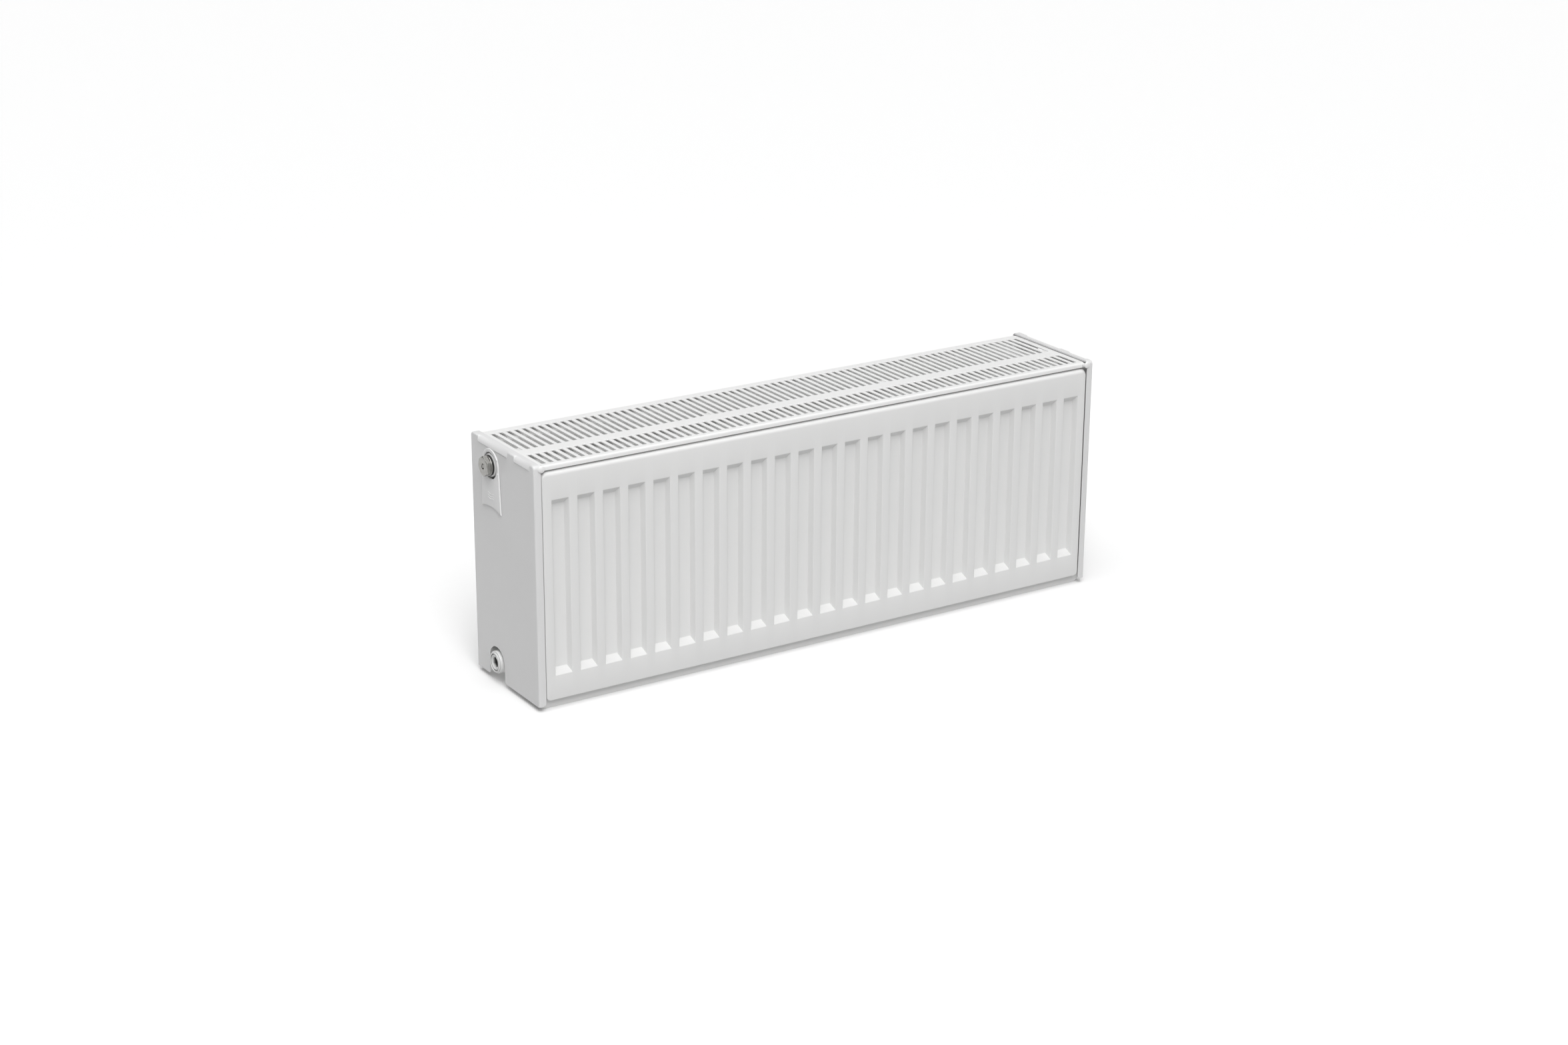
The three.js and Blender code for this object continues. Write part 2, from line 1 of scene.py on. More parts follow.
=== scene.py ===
"""Type 33 compact panel radiator with a bleed valve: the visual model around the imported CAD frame.

Meshes are worked out in millimetres in the radiator's own frame: x from the middle of the panels,
y back from the front face, z up from the panels' lower edge. `piece` puts them in place in metres.
"""

import math

import bmesh
import bpy
from mathutils import Matrix, Vector


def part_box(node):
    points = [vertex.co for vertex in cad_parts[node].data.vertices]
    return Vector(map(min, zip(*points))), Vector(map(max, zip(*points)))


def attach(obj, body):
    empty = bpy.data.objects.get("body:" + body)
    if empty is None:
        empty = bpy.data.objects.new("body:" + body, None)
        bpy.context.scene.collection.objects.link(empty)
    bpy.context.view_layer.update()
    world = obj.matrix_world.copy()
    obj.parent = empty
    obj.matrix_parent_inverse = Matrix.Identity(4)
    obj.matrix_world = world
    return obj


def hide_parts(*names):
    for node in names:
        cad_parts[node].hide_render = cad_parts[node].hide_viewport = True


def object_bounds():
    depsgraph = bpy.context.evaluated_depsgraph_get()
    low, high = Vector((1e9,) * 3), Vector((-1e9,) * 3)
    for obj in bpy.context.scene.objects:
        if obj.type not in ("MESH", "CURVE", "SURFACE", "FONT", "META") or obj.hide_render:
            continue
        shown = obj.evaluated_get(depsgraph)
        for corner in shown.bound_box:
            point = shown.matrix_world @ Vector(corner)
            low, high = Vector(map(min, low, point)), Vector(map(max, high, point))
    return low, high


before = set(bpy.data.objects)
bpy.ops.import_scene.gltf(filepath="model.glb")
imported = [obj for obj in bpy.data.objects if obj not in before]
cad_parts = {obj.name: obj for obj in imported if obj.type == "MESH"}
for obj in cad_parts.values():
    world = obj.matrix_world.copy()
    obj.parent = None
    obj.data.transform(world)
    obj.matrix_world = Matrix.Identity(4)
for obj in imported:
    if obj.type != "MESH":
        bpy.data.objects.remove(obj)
CAD_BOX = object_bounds()
MM = 0.001

# ---- places read from the frame, in millimetres ----
PANEL_LOW, PANEL_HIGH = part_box("front_panel_outer_sheet")
ORIGIN = Vector(((PANEL_LOW.x + PANEL_HIGH.x) / 2, PANEL_LOW.y, PANEL_LOW.z))


def span(node):
    """Lowest and highest corner of a CAD node in the radiator's own frame."""
    low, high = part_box(node)
    return (low - ORIGIN) / MM, (high - ORIGIN) / MM


PANEL_HALF = span("front_panel_outer_sheet")[1].x
PANEL_TOP = span("front_panel_outer_sheet")[1].z
DEPTH = span("rear_panel_outer_sheet")[1].y
END_X = span("right_side_cover")[1].x
COVER_TOP = span("right_side_cover")[1].z
COVER_BOTTOM = span("right_side_cover")[0].z
COVER_INNER_X = span("right_side_cover")[0].x
GRILLE_HALF = span("top_grille")[1].x
GRILLE_FRONT = span("top_grille")[0].y
GRILLE_REAR = span("top_grille")[1].y
GRILLE_TOP = span("top_grille")[1].z
BOSS_X = span("tee_top_right")[1].x
VENT_LOW, VENT_HIGH = span("vent_plug_body")
VENT_FACE_X = -VENT_LOW.x
BLANK_LOW, BLANK_HIGH = span("blanking_plug")
BLANK_FACE_X = -BLANK_LOW.x
PORT_Y = (VENT_LOW.y + VENT_HIGH.y) / 2
PORT_HIGH = (VENT_LOW.z + VENT_HIGH.z) / 2
PORT_LOW = (BLANK_LOW.z + BLANK_HIGH.z) / 2
TEE_X = (span("link_top_right")[0].x + span("link_top_right")[1].x) / 2
BADGE_FOOT_Z = span("port_badge")[0].z

# ---- shapes that the frame's boxes don't give ----
CHANNEL_PITCH = 100 / 3
RECESSES = 23
SHEET = 1.2
DEEP_RISE = 8
SHALLOW_RISE = 2.3
OUTER_FACE_HALF = 388.2
INNER_FACE_HALF = 386
FACE_BOTTOM = 12.6
FACE_TOP = 284.6
FACE_CORNER_R = 4
FLANGE_CORNER_R = 8
RECESS_BOTTOM = 41
RECESS_TOP = 257
RECESS_HALF = 12
CORNER_STEPS = 5
TUBE_R = 12.5
BOSS_R = 13.75
BOSS_BORE_R = 9.6
COVER_SHEET = 0.8
COVER_HOLE_R = 17
COVER_NOTCH_R = 19
SLOTS = 76
SLOT_SPAN = 760
SLOT_HALF = 2.6
SLOT_ROWS = ((12.1, 49.6), (68.1, 139.6))
# Where the painted shade inside the blanking plug's socket starts and how far it fades in, in
# millimetres.
SOCKET_SHADE_START = 2
SOCKET_SHADE_FADE = 2.5


# ---- materials ----
class Surface:
    """A material whose noise is laid out in the object's own coordinates."""

    def __init__(self, name, roughness, metallic=0.0, ior=1.5):
        self.material = bpy.data.materials.new(name)
        self.material.use_nodes = True
        self.nodes = self.material.node_tree.nodes
        self.links = self.material.node_tree.links
        self.inputs = self.nodes["Principled BSDF"].inputs
        self.inputs["Roughness"].default_value = roughness
        self.inputs["Metallic"].default_value = metallic
        self.inputs["IOR"].default_value = ior
        self.place = self.nodes.new("ShaderNodeTexCoord").outputs["Object"]

    def texture(self, scale, detail):
        """A noise texture; scale is in cycles per metre."""
        texture = self.nodes.new("ShaderNodeTexNoise")
        texture.inputs["Scale"].default_value = scale
        texture.inputs["Detail"].default_value = detail
        self.links.new(self.place, texture.inputs["Vector"])
        return texture

    def noise(self, scale, detail):
        """The grey value of a noise texture."""
        return self.texture(scale, detail).outputs["Fac"]

    def ramp(self, source, stops):
        """A colour ramp; stops are (place, grey or colour)."""
        band = self.nodes.new("ShaderNodeValToRGB")
        elements = band.color_ramp.elements
        while len(elements) < len(stops):
            elements.new(0.5)
        for element, (at, tone) in zip(elements, stops):
            element.position = at
            element.color = (*tone, 1) if isinstance(tone, tuple) else (tone, tone, tone, 1)
        self.links.new(source, band.inputs["Fac"])
        return band.outputs["Color"]

    def tint(self, source, stops):
        self.links.new(self.ramp(source, stops), self.inputs["Base Color"])

    def gloss(self, source, stops):
        self.links.new(self.ramp(source, stops), self.inputs["Roughness"])

    def relief(self, *layers):
        """Fine relief in layers of (height, strength, distance in metres), coarse ones first."""
        before = None
        for height, strength, distance in layers:
            node = self.nodes.new("ShaderNodeBump")
            node.inputs["Strength"].default_value = strength
            node.inputs["Distance"].default_value = distance
            self.links.new(height, node.inputs["Height"])
            if before:
                self.links.new(before.outputs["Normal"], node.inputs["Normal"])
            before = node
        self.links.new(before.outputs["Normal"], self.inputs["Normal"])


def powder_coat(name, tone, roughness, peel):
    """Baked powder coat: a faint cloud in the tone, uneven gloss and a fine orange peel."""
    coat = Surface(name, roughness)
    low = tuple(c * 0.985 for c in tone)
    coat.tint(coat.noise(9, 1), ((0.3, low), (0.7, tone)))
    coat.gloss(coat.noise(60, 2), ((0.25, roughness - 0.04), (0.75, roughness + 0.06)))
    coat.relief((coat.noise(500, 1), peel, 0.00003), (coat.noise(1800, 1), peel, 0.00002))
    return coat.material


def plug_coat_with_socket_shade(name, tone, socket_shade_tone, roughness):
    """Powder coat with painted shade in the socket: from a little way in, the colour fades to near
    black where the socket lies in shade.
    """
    coat = Surface(name, roughness)
    axes = coat.nodes.new("ShaderNodeSeparateXYZ")
    coat.links.new(coat.place, axes.inputs["Vector"])
    # Painted shade: deeper in the socket the colour turns from the plug's paint to near black.
    depth = coat.nodes.new("ShaderNodeMapRange")
    shade_start = ORIGIN.x - (BLANK_FACE_X - SOCKET_SHADE_START) * MM
    depth.inputs["From Min"].default_value = shade_start
    depth.inputs["From Max"].default_value = shade_start + SOCKET_SHADE_FADE * MM
    coat.links.new(axes.outputs["X"], depth.inputs["Value"])
    grain = coat.texture(1400, 2)
    blend = coat.nodes.new("ShaderNodeMix")
    blend.data_type = "RGBA"
    blend.blend_type = "MULTIPLY"
    blend.inputs["Factor"].default_value = 0.12
    coat.links.new(coat.ramp(depth.outputs["Result"], ((0, tone), (1, socket_shade_tone))), blend.inputs["A"])
    coat.links.new(grain.outputs["Color"], blend.inputs["B"])
    coat.links.new(blend.outputs["Result"], coat.inputs["Base Color"])
    coat.relief((grain.outputs["Fac"], 0.3, 0.00002))
    return coat.material


def plated_metal(name, dark, light, roughness):
    """Nickel plate: a patchy tone, uneven gloss and fine marks."""
    plate = Surface(name, roughness, 1.0)
    plate.tint(plate.noise(300, 2), ((0.3, dark), (0.7, light)))
    plate.gloss(plate.noise(900, 3), ((0.3, roughness - 0.07), (0.75, roughness + 0.12)))
    plate.relief((plate.noise(2600, 2), 0.25, 0.00003))
    return plate.material


def black_rubber(name):
    """Rubber with a faint bloom and a fine grain."""
    rubber = Surface(name, 0.6)
    rubber.tint(rubber.noise(700, 3), ((0.4, 0.006), (0.8, 0.02)))
    rubber.relief((rubber.noise(3000, 2), 0.3, 0.00003))
    return rubber.material


def moulded_plastic(name, tone):
    """Moulded plastic: a spark-eroded grain and a slightly uneven gloss."""
    plastic = Surface(name, 0.42, 0.0, 1.46)
    low = tuple(c * 0.98 for c in tone)
    plastic.tint(plastic.noise(30, 2), ((0.3, low), (0.7, tone)))
    grain = plastic.noise(2200, 3)
    plastic.gloss(grain, ((0.3, 0.36), (0.7, 0.5)))
    plastic.relief((grain, 0.35, 0.00003))
    return plastic.material


ENAMEL = powder_coat("enamel_white", (0.805, 0.805, 0.80), 0.34, 0.12)
# Painted light: the panels' white paint set lighter on the grille and its knobs, whose tops face the
# light.
GRILLE_ENAMEL_PAINTED_LIGHT = powder_coat("grille_enamel_white_painted_light", (0.86, 0.86, 0.855), 0.34, 0.12)
# Painted light: the same white paint as the outer sheets, set brighter for the inner sheets and fins
# so their shaded insides look lit.
INSIDE_ENAMEL_PAINTED_LIGHT = powder_coat("enamel_inside_painted_light", (0.92, 0.92, 0.91), 0.42, 0.3)
# Painted shade: the panels' white paint set darker on the side covers, whose faces turn away from
# the light.
COVER_ENAMEL_PAINTED_SHADE = powder_coat("cover_enamel_white_painted_shade", (0.76, 0.76, 0.76), 0.36, 0.16)
# The blanking plug's white paint, with painted shade darkening the inside of its socket.
PLUG_ENAMEL_SOCKET_SHADE = plug_coat_with_socket_shade("plug_enamel_white_socket_shade", (0.80, 0.80, 0.795), (0.10, 0.10, 0.098), 0.34)
# Painted reflection: both nickel tones are set dark, for the dark surroundings the plug's faces
# reflect; the patchy spread between them is the plating's own.
NICKEL_PAINTED_DARK_REFLECTION = plated_metal("nickel_plate_painted_dark_reflection", (0.33, 0.325, 0.31), (0.40, 0.395, 0.38), 0.36)
RUBBER = black_rubber("black_rubber")
BADGE_PLASTIC = moulded_plastic("badge_plastic_white", (0.86, 0.86, 0.86))
SPRING_STEEL = powder_coat("clip_coat_white", (0.78, 0.78, 0.77), 0.36, 0.2)


# ---- mesh tools ----
MERGE_DISTANCE = 0.01
BEVEL_FROM_ANGLE = 40


def linked(name, data):
    obj = bpy.data.objects.new(name, data)
    bpy.context.scene.collection.objects.link(obj)
    return obj


def apply_modifiers(obj):
    """Replaces the object's mesh by what its modifiers make of it, and takes them off."""
    graph = bpy.context.evaluated_depsgraph_get()
    mesh = bpy.data.meshes.new_from_object(obj.evaluated_get(graph))
    obj.modifiers.clear()
    obj.data = mesh


def piece(name, verts, faces, material, body, nodes, sheet=0.0, centred=False, bevel=0.0,
          sharp=32, outward=True):
    """One visible piece. sheet thickens it behind its faces, or to both sides if it is centred;
    bevel rounds its sharp edges; sharp is the angle from which an edge is shaded as an edge;
    outward turns all faces outwards."""
    mesh = bpy.data.meshes.new(name)
    mesh.from_pydata([tuple(ORIGIN + Vector(v) * MM) for v in verts], [], faces)
    shape = bmesh.new()
    shape.from_mesh(mesh)
    bmesh.ops.remove_doubles(shape, verts=shape.verts, dist=MERGE_DISTANCE * MM)
    bmesh.ops.dissolve_degenerate(shape, edges=shape.edges, dist=MERGE_DISTANCE / 10 * MM)
    if outward:
        bmesh.ops.recalc_face_normals(shape, faces=shape.faces)
    shape.to_mesh(mesh)
    shape.free()
    mesh.materials.append(material)
    obj = linked(name, mesh)
    if sheet:
        thick = obj.modifiers.new("sheet", "SOLIDIFY")
        thick.thickness = sheet * MM
        thick.offset = 0 if centred else -1
    if bevel:
        round_off = obj.modifiers.new("round", "BEVEL")
        round_off.width = bevel * MM
        round_off.segments = 2
        round_off.limit_method = "ANGLE"
        round_off.angle_limit = math.radians(BEVEL_FROM_ANGLE)
        round_off.use_clamp_overlap = True
    if sheet or bevel:
        apply_modifiers(obj)
    obj.data.shade_smooth()
    obj.data.set_sharp_from_angle(angle=math.radians(sharp))
    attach(obj, body)
    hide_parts(*nodes)


class Mesh:
    """Collects vertices and faces, in millimetres."""

    def __init__(self):
        self.verts = []
        self.faces = []

    def add(self, points):
        start = len(self.verts)
        self.verts.extend(tuple(p) for p in points)
        return list(range(start, len(self.verts)))

    def bridge(self, first, second, closed=True):
        """Quads between two rows of the same length."""
        count = len(first)
        for i in range(count if closed else count - 1):
            j = (i + 1) % count
            self.faces.append((first[i], first[j], second[j], second[i]))

    def skin(self, rows, closed=True):
        """Bridges each row to the next."""
        for first, second in zip(rows, rows[1:]):
            self.bridge(first, second, closed)

    def cap(self, *rows):
        """Closes each row with one face."""
        self.faces.extend(tuple(row) for row in rows)

    def fan(self, row, point):
        """Triangles from one point to an open row."""
        self.faces.extend((a, b, point) for a, b in zip(row, row[1:]))

    def flat_fill(self, outline, holes, to_3d):
        """Fills a flat outline round its holes. All are rows of (u, v) points."""
        shape = bmesh.new()
        for loop in [outline, *holes]:
            row = [shape.verts.new((u, v, 0)) for u, v in loop]
            for i, vert in enumerate(row):
                shape.edges.new((vert, row[(i + 1) % len(row)]))
        bmesh.ops.triangle_fill(shape, use_beauty=True, edges=shape.edges, normal=(0, 0, 1))
        shape.verts.index_update()
        start = len(self.verts)
        self.verts.extend(tuple(to_3d(v.co.x, v.co.y)) for v in shape.verts)
        self.faces.extend(tuple(start + v.index for v in f.verts) for f in shape.faces)
        shape.free()


def arc(centre, radius, start, end, steps):
    """Points (u, v) on an arc, angles in degrees, both ends included."""
    points = []
    for i in range(steps + 1):
        angle = math.radians(start + (end - start) * i / steps)
        points.append((centre[0] + radius * math.cos(angle), centre[1] + radius * math.sin(angle)))
    return points


def circle(centre, radius, steps=48):
    """Points (u, v) on a circle, without the first one again at the end."""
    return arc(centre, radius, 0, 360 - 360 / steps, steps - 1)


def bend(radius):
    """Points (inset, depth) round a sheet's quarter bend."""
    return [(radius - v, radius - u) for u, v in arc((0, 0), radius, 0, 90, 6)]


def rounded_line(points, radius, steps=4):
    """An open line of (u, v) corners with each inner corner rounded."""
    line = [points[0]]
    for before, corner, after in zip(points, points[1:], points[2:]):
        at = Vector(corner)
        back = (Vector(before) - at).normalized()
        on = (Vector(after) - at).normalized()
        half = back.angle(on) / 2
        reach = radius / math.tan(half)
        centre = at + (back + on).normalized() * (radius / math.sin(half))
        first = at + back * reach - centre
        turn = first.angle_signed(at + on * reach - centre)
        for i in range(steps + 1):
            spoke = first.copy()
            spoke.rotate(Matrix.Rotation(-turn * i / steps, 2))
            line.append(tuple(centre + spoke))
    line.append(points[-1])
    return line


def strip(shape, line, to_3d, start, end):
    """A bent sheet: a line of (u, v) points drawn out from start to end."""
    shape.skin([shape.add([to_3d(u, v, w) for u, v in line]) for w in (start, end)], closed=False)


def turned(shape, profile, to_3d, segments=48, closed_ends=True):
    """A turned body. The profile is (radius, along) from the inner end out; to_3d gives a point
    from (across, up, along)."""
    rows = []
    for radius, along in profile:
        rows.append(shape.add([to_3d(u, v, along) for u, v in circle((0, 0), radius, segments)]))
    shape.skin(rows)
    if closed_ends:
        shape.cap(reversed(rows[0]), rows[-1])
    return rows


def leftwards(z, face_x):
    """Places a turned body on a left port, its outer face at -face_x."""
    return lambda across, up, along: (-face_x - along, PORT_Y + across, z + up)


def backwards(x, z):
    """Places a turned body whose axis runs from front to back."""
    return lambda across, up, along: (x + across, along, z + up)


# ---- water panels ----
class Wall:
    """A pressed wall: a round shoulder, a straight slope and a round foot."""

    def __init__(self, rise, slope, shoulder, foot):
        self.rise = rise
        self.slope = math.radians(slope)
        self.shoulder = shoulder
        self.foot = foot

    def drops(self, steps):
        """How far down the wall each grid line lies."""
        turn = [self.slope * i / steps for i in range(steps + 1)]
        down = [self.shoulder * (1 - math.cos(a)) for a in turn]
        up = [self.rise - self.foot * (1 - math.cos(a)) for a in reversed(turn)]
        return down + up

    def run(self, drop):
        """How far out from the shoulder's start the wall is, at a drop."""
        round_top = self.shoulder * (1 - math.cos(self.slope))
        round_low = self.foot * (1 - math.cos(self.slope))
        straight = (self.rise - round_top - round_low) / math.tan(self.slope)
        total = (self.shoulder + self.foot) * math.sin(self.slope) + straight
        if drop <= round_top:
            return self.shoulder * math.sin(math.acos(1 - drop / self.shoulder))
        left = self.rise - drop
        if left <= round_low:
            return total - self.foot * math.sin(math.acos(max(-1.0, 1 - left / self.foot)))
        return self.shoulder * math.sin(self.slope) + (drop - round_top) / math.tan(self.slope)


class Pressing:
    """The walls of a pressed sheet: along a recess, across its ends, round the face and on top."""

    def __init__(self, side, end, edge, top, face_half):
        self.side = side
        self.end = end
        self.edge = edge
        self.top = top
        self.face_half = face_half


OUTER = Pressing(Wall(DEEP_RISE, 70, 1.1, 0.8), Wall(DEEP_RISE, 47, 1.1, 0.7),
                 Wall(DEEP_RISE, 72, 1.3, 1.0), Wall(DEEP_RISE, 74, 5, 0.8), OUTER_FACE_HALF)
DEEP = Pressing(OUTER.side, OUTER.end, Wall(DEEP_RISE, 68, 1.6, 1.0),
                Wall(DEEP_RISE, 68, 1.6, 1.0), INNER_FACE_HALF)
SHALLOW = Pressing(Wall(SHALLOW_RISE, 48, 1.2, 1.0), Wall(SHALLOW_RISE, 40, 1.2, 1.0),
                   Wall(SHALLOW_RISE, 48, 1.4, 1.0), Wall(SHALLOW_RISE, 48, 1.4, 1.0),
                   INNER_FACE_HALF)


def recess_lines(pressing, steps):
    """Grid lines across the recesses as (place, level): level 0 is the face."""
    side, end = pressing.side, pressing.end
    drops = side.drops(steps)
    across = []
    for k in range(RECESSES):
        middle = (k - (RECESSES - 1) / 2) * CHANNEL_PITCH
        runs = [(RECESS_HALF - side.run(d), i) for i, d in enumerate(drops)]
        across.extend((middle - reach, i) for reach, i in runs)
        across.extend((middle + reach, i) for reach, i in reversed(runs))
    runs = [(end.run(d), i) for i, d in enumerate(drops)]
    upright = [(RECESS_BOTTOM + run, i) for run, i in runs]
    upright.extend((RECESS_TOP - run, i) for run, i in reversed(runs))
    return drops, across, upright


def rounded_ring(half, low, high, radius, across, upright):
    """A rounded rectangle that has a point on every grid line, anticlockwise from the front."""
    xs = [x for x, _ in across]
    zs = [z for z, _ in upright]
    inner = half - radius
    ring = [(x, low) for x in xs]
    ring += arc((inner, low + radius), radius, -90, 0, CORNER_STEPS)
    ring += [(half, z) for z in zs]
    ring += arc((inner, high - radius), radius, 0, 90, CORNER_STEPS)
    ring += [(x, high) for x in reversed(xs)]
    ring += arc((-inner, high - radius), radius, 90, 180, CORNER_STEPS)
    ring += [(-half, z) for z in reversed(zs)]
    ring += arc((-inner, low + radius), radius, 180, 270, CORNER_STEPS)
    return ring


def pressed_sheet(pressing, steps):
    """The outer skin of a pressed sheet as (x, z, drop behind the face)."""
    drops, across, upright = recess_lines(pressing, steps)
    shape = Mesh()
    grid = []
    for z, row_level in upright:
        grid.append(shape.add([(x, z, drops[min(level, row_level)]) for x, level in across]))
    for low, high in zip(grid, grid[1:]):
        for i in range(len(across) - 1):
            corners = (low[i], low[i + 1], high[i + 1], high[i])
            depth = [shape.verts[c][2] for c in corners]
            if abs(depth[0] + depth[2] - depth[1] - depth[3]) < 1e-6:
                shape.faces.append(corners)
                continue
            first = 0 if abs(depth[0] - depth[2]) > abs(depth[1] - depth[3]) else 1
            a, b, c, d = corners[first:] + corners[:first]
            shape.faces.extend(((a, b, c), (a, c, d)))

    edge, top = pressing.edge, pressing.top
    rings = []
    for drop in sorted({round(d, 3) for d in edge.drops(steps) + top.drops(steps)}):
        out, up = edge.run(drop), top.run(drop)
        ring = rounded_ring(pressing.face_half + out, FACE_BOTTOM - out, FACE_TOP + up,
                            FACE_CORNER_R + out, across, upright)
        rings.append(shape.add([(x, z, drop) for x, z in ring]))
    rim = rounded_ring(PANEL_HALF, 0, PANEL_TOP, FLANGE_CORNER_R, across, upright)
    rings.append(shape.add([(x, z, edge.rise) for x, z in rim]))
    for inside, outside in zip(rings, rings[1:]):
        shape.bridge(outside, inside)

    first = rings[0]
    turn = CORNER_STEPS + 1
    wide, tall = len(across) + turn, len(upright) + turn
    sides = (
        (0, grid[0]),
        (wide, [row[-1] for row in grid]),
        (wide + tall, grid[-1][::-1]),
        (2 * wide + tall, [row[0] for row in reversed(grid)]),
    )
    for start, inner in sides:
        shape.bridge(first[start:start + len(inner)], inner, closed=False)
        corner = [first[(start + len(inner) - 1 + i) % len(first)] for i in range(turn + 2)]
        shape.fan(corner, inner[-1])
    return shape


def panel_sheet(name, pressing, facing, steps):
    """A pressed sheet; facing is -1 if its face looks at the room and 1 if it looks at the wall."""
    low, high = span(name)
    face_y = low.y if facing < 0 else high.y
    shape = pressed_sheet(pressing, steps)
    verts = [(-facing * x, face_y - facing * drop, z) for x, z, drop in shape.verts]
    # Inner sheets take the brighter copy of the paint: painted light inside the radiator.
    coat = ENAMEL if pressing is OUTER else INSIDE_ENAMEL_PAINTED_LIGHT
    piece(name + "_pressing", verts, shape.faces, coat, "radiator_body", [name],
          sheet=SHEET, sharp=28, outward=False)


def water_panels():
    panel_sheet("front_panel_outer_sheet", OUTER, -1, 4)
    panel_sheet("front_panel_inner_sheet", SHALLOW, 1, 2)
    panel_sheet("middle_panel_front_sheet", DEEP, -1, 2)
    panel_sheet("middle_panel_rear_sheet", SHALLOW, 1, 2)
    panel_sheet("rear_panel_inner_sheet", SHALLOW, -1, 2)
    panel_sheet("rear_panel_outer_sheet", OUTER, 1, 3)


# ---- convectors ----
FIN_SHEET = 0.5
FIN_LAND = 10
FIN_BEND_R = 2.2


def convector(name, facing):
    """A corrugated sheet welded on the water channels; facing is the way that its crests point."""
    low, high = span(name)
    depth = high.y - low.y - FIN_SHEET
    start_y = (low.y if facing > 0 else high.y) + facing * FIN_SHEET / 2
    line = []
    for i in range(RECESSES + 1):
        x = (i - RECESSES / 2) * CHANNEL_PITCH
        line += [(x - FIN_LAND / 2, 0), (x + FIN_LAND / 2, 0)]
        if i < RECESSES:
            crest = x + CHANNEL_PITCH / 2
            line += [(crest - FIN_LAND / 2, depth), (crest + FIN_LAND / 2, depth)]
    shape = Mesh()
    strip(shape, rounded_line(line, FIN_BEND_R, 3),
          lambda u, v, w: (u, start_y + facing * v, w), low.z, high.z)
    # The fins take the brighter copy of the paint: painted light inside the radiator.
    piece(name + "_fins", shape.verts, shape.faces, INSIDE_ENAMEL_PAINTED_LIGHT, "radiator_body", [name],
          sheet=FIN_SHEET, centred=True, sharp=40)


# ---- tees, links and ports ----
THREAD_PITCH = 1.81
THREAD_DEPTH = 1.0
THREAD_STEPS = 6
THREAD_R = BOSS_BORE_R - 0.6
THREAD_START = 0.9
THREAD_END = 15.5
WELL_START = 15.6
WELL_END = 20
FLARE = 1.6
WELD_BEAD = 1.2


def thread_rows(shape, start, end, to_3d, segments=48):
    """A helical inside thread between two places along a port's axis."""
    count = int((end - start) / THREAD_PITCH * THREAD_STEPS)
    rows = []
    for i in range(count + 1):
        along = start + (end - start) * i / count
        row = []
        for k in range(segments):
            phase = ((along - start) / THREAD_PITCH - k / segments) % 1
            cut = THREAD_DEPTH * abs(2 * phase - 1)
            fade = min(1.0, (end - along) / THREAD_PITCH)
            angle = 2 * math.pi * k / segments
            reach = THREAD_R + cut * fade
            row.append(to_3d(reach * math.cos(angle), reach * math.sin(angle), along))
        rows.append(shape.add(row))
    for first, second in zip(rows, rows[1:]):
        shape.bridge(second, first)
    return rows


def tee(name, side, z):
    """A welded tee: the cross tube between two panels, and the threaded boss of the port."""
    low, high = span(name)
    shape = Mesh()
    flare = [(TUBE_R + FLARE, 0), (TUBE_R + FLARE, 0.8), (TUBE_R + 0.5, 2.2), (TUBE_R, 3.4)]
    tube = [(radius, low.y + along) for radius, along in flare]
    tube += [(radius, high.y - along) for radius, along in reversed(flare)]
    turned(shape, tube, backwards(side * TEE_X, z), 40)
    boss = [
        (BOSS_R + 1.8, TEE_X + 9), (BOSS_R + 1.5, TEE_X + 10.5), (BOSS_R, TEE_X + 12.5),
        (BOSS_R, BOSS_X - 0.7), (BOSS_R - 0.2, BOSS_X - 0.2), (BOSS_R - 0.7, BOSS_X),
        (BOSS_BORE_R + 1.6, BOSS_X), (BOSS_BORE_R + 0.9, BOSS_X - 0.6),
    ]
    port = lambda a, u, x: (side * x, PORT_Y + a, z + u)
    rows = turned(shape, boss, port, closed_ends=False)
    shape.cap(rows[0])
    thread = thread_rows(shape, BOSS_X - THREAD_END, BOSS_X - THREAD_START, port)
    shape.bridge(thread[-1], rows[-1])
    well = [(THREAD_R, BOSS_X - WELL_END), (THREAD_R, BOSS_X - WELL_START)]
    bottom = turned(shape, well, port, closed_ends=False)
    shape.bridge(bottom[-1], thread[0])
    shape.cap(bottom[0])
    piece(name + "_casting", shape.verts, shape.faces, ENAMEL, "radiator_body", [name],
          sharp=38)


def link(name):
    """A short tube between the front and middle panels, with a weld bead at each end."""
    low, high = span(name)
    bead = [(TUBE_R + WELD_BEAD, 0), (TUBE_R + WELD_BEAD * 0.8, 1), (TUBE_R, 1.8)]
    tube = [(radius, low.y + along) for radius, along in bead]
    tube += [(radius, high.y - along) for radius, along in reversed(bead)]
    shape = Mesh()
    turned(shape, tube, backwards((low.x + high.x) / 2, (low.z + high.z) / 2), 40)
    piece(name + "_tube", shape.verts, shape.faces, ENAMEL, "radiator_body", [name])


def tees_and_links():
    for side_name, side in (("left", -1), ("right", 1)):
        for level, z in (("top", PORT_HIGH), ("bottom", PORT_LOW)):
            tee(f"tee_{level}_{side_name}", side, z)
            link(f"link_{level}_{side_name}")


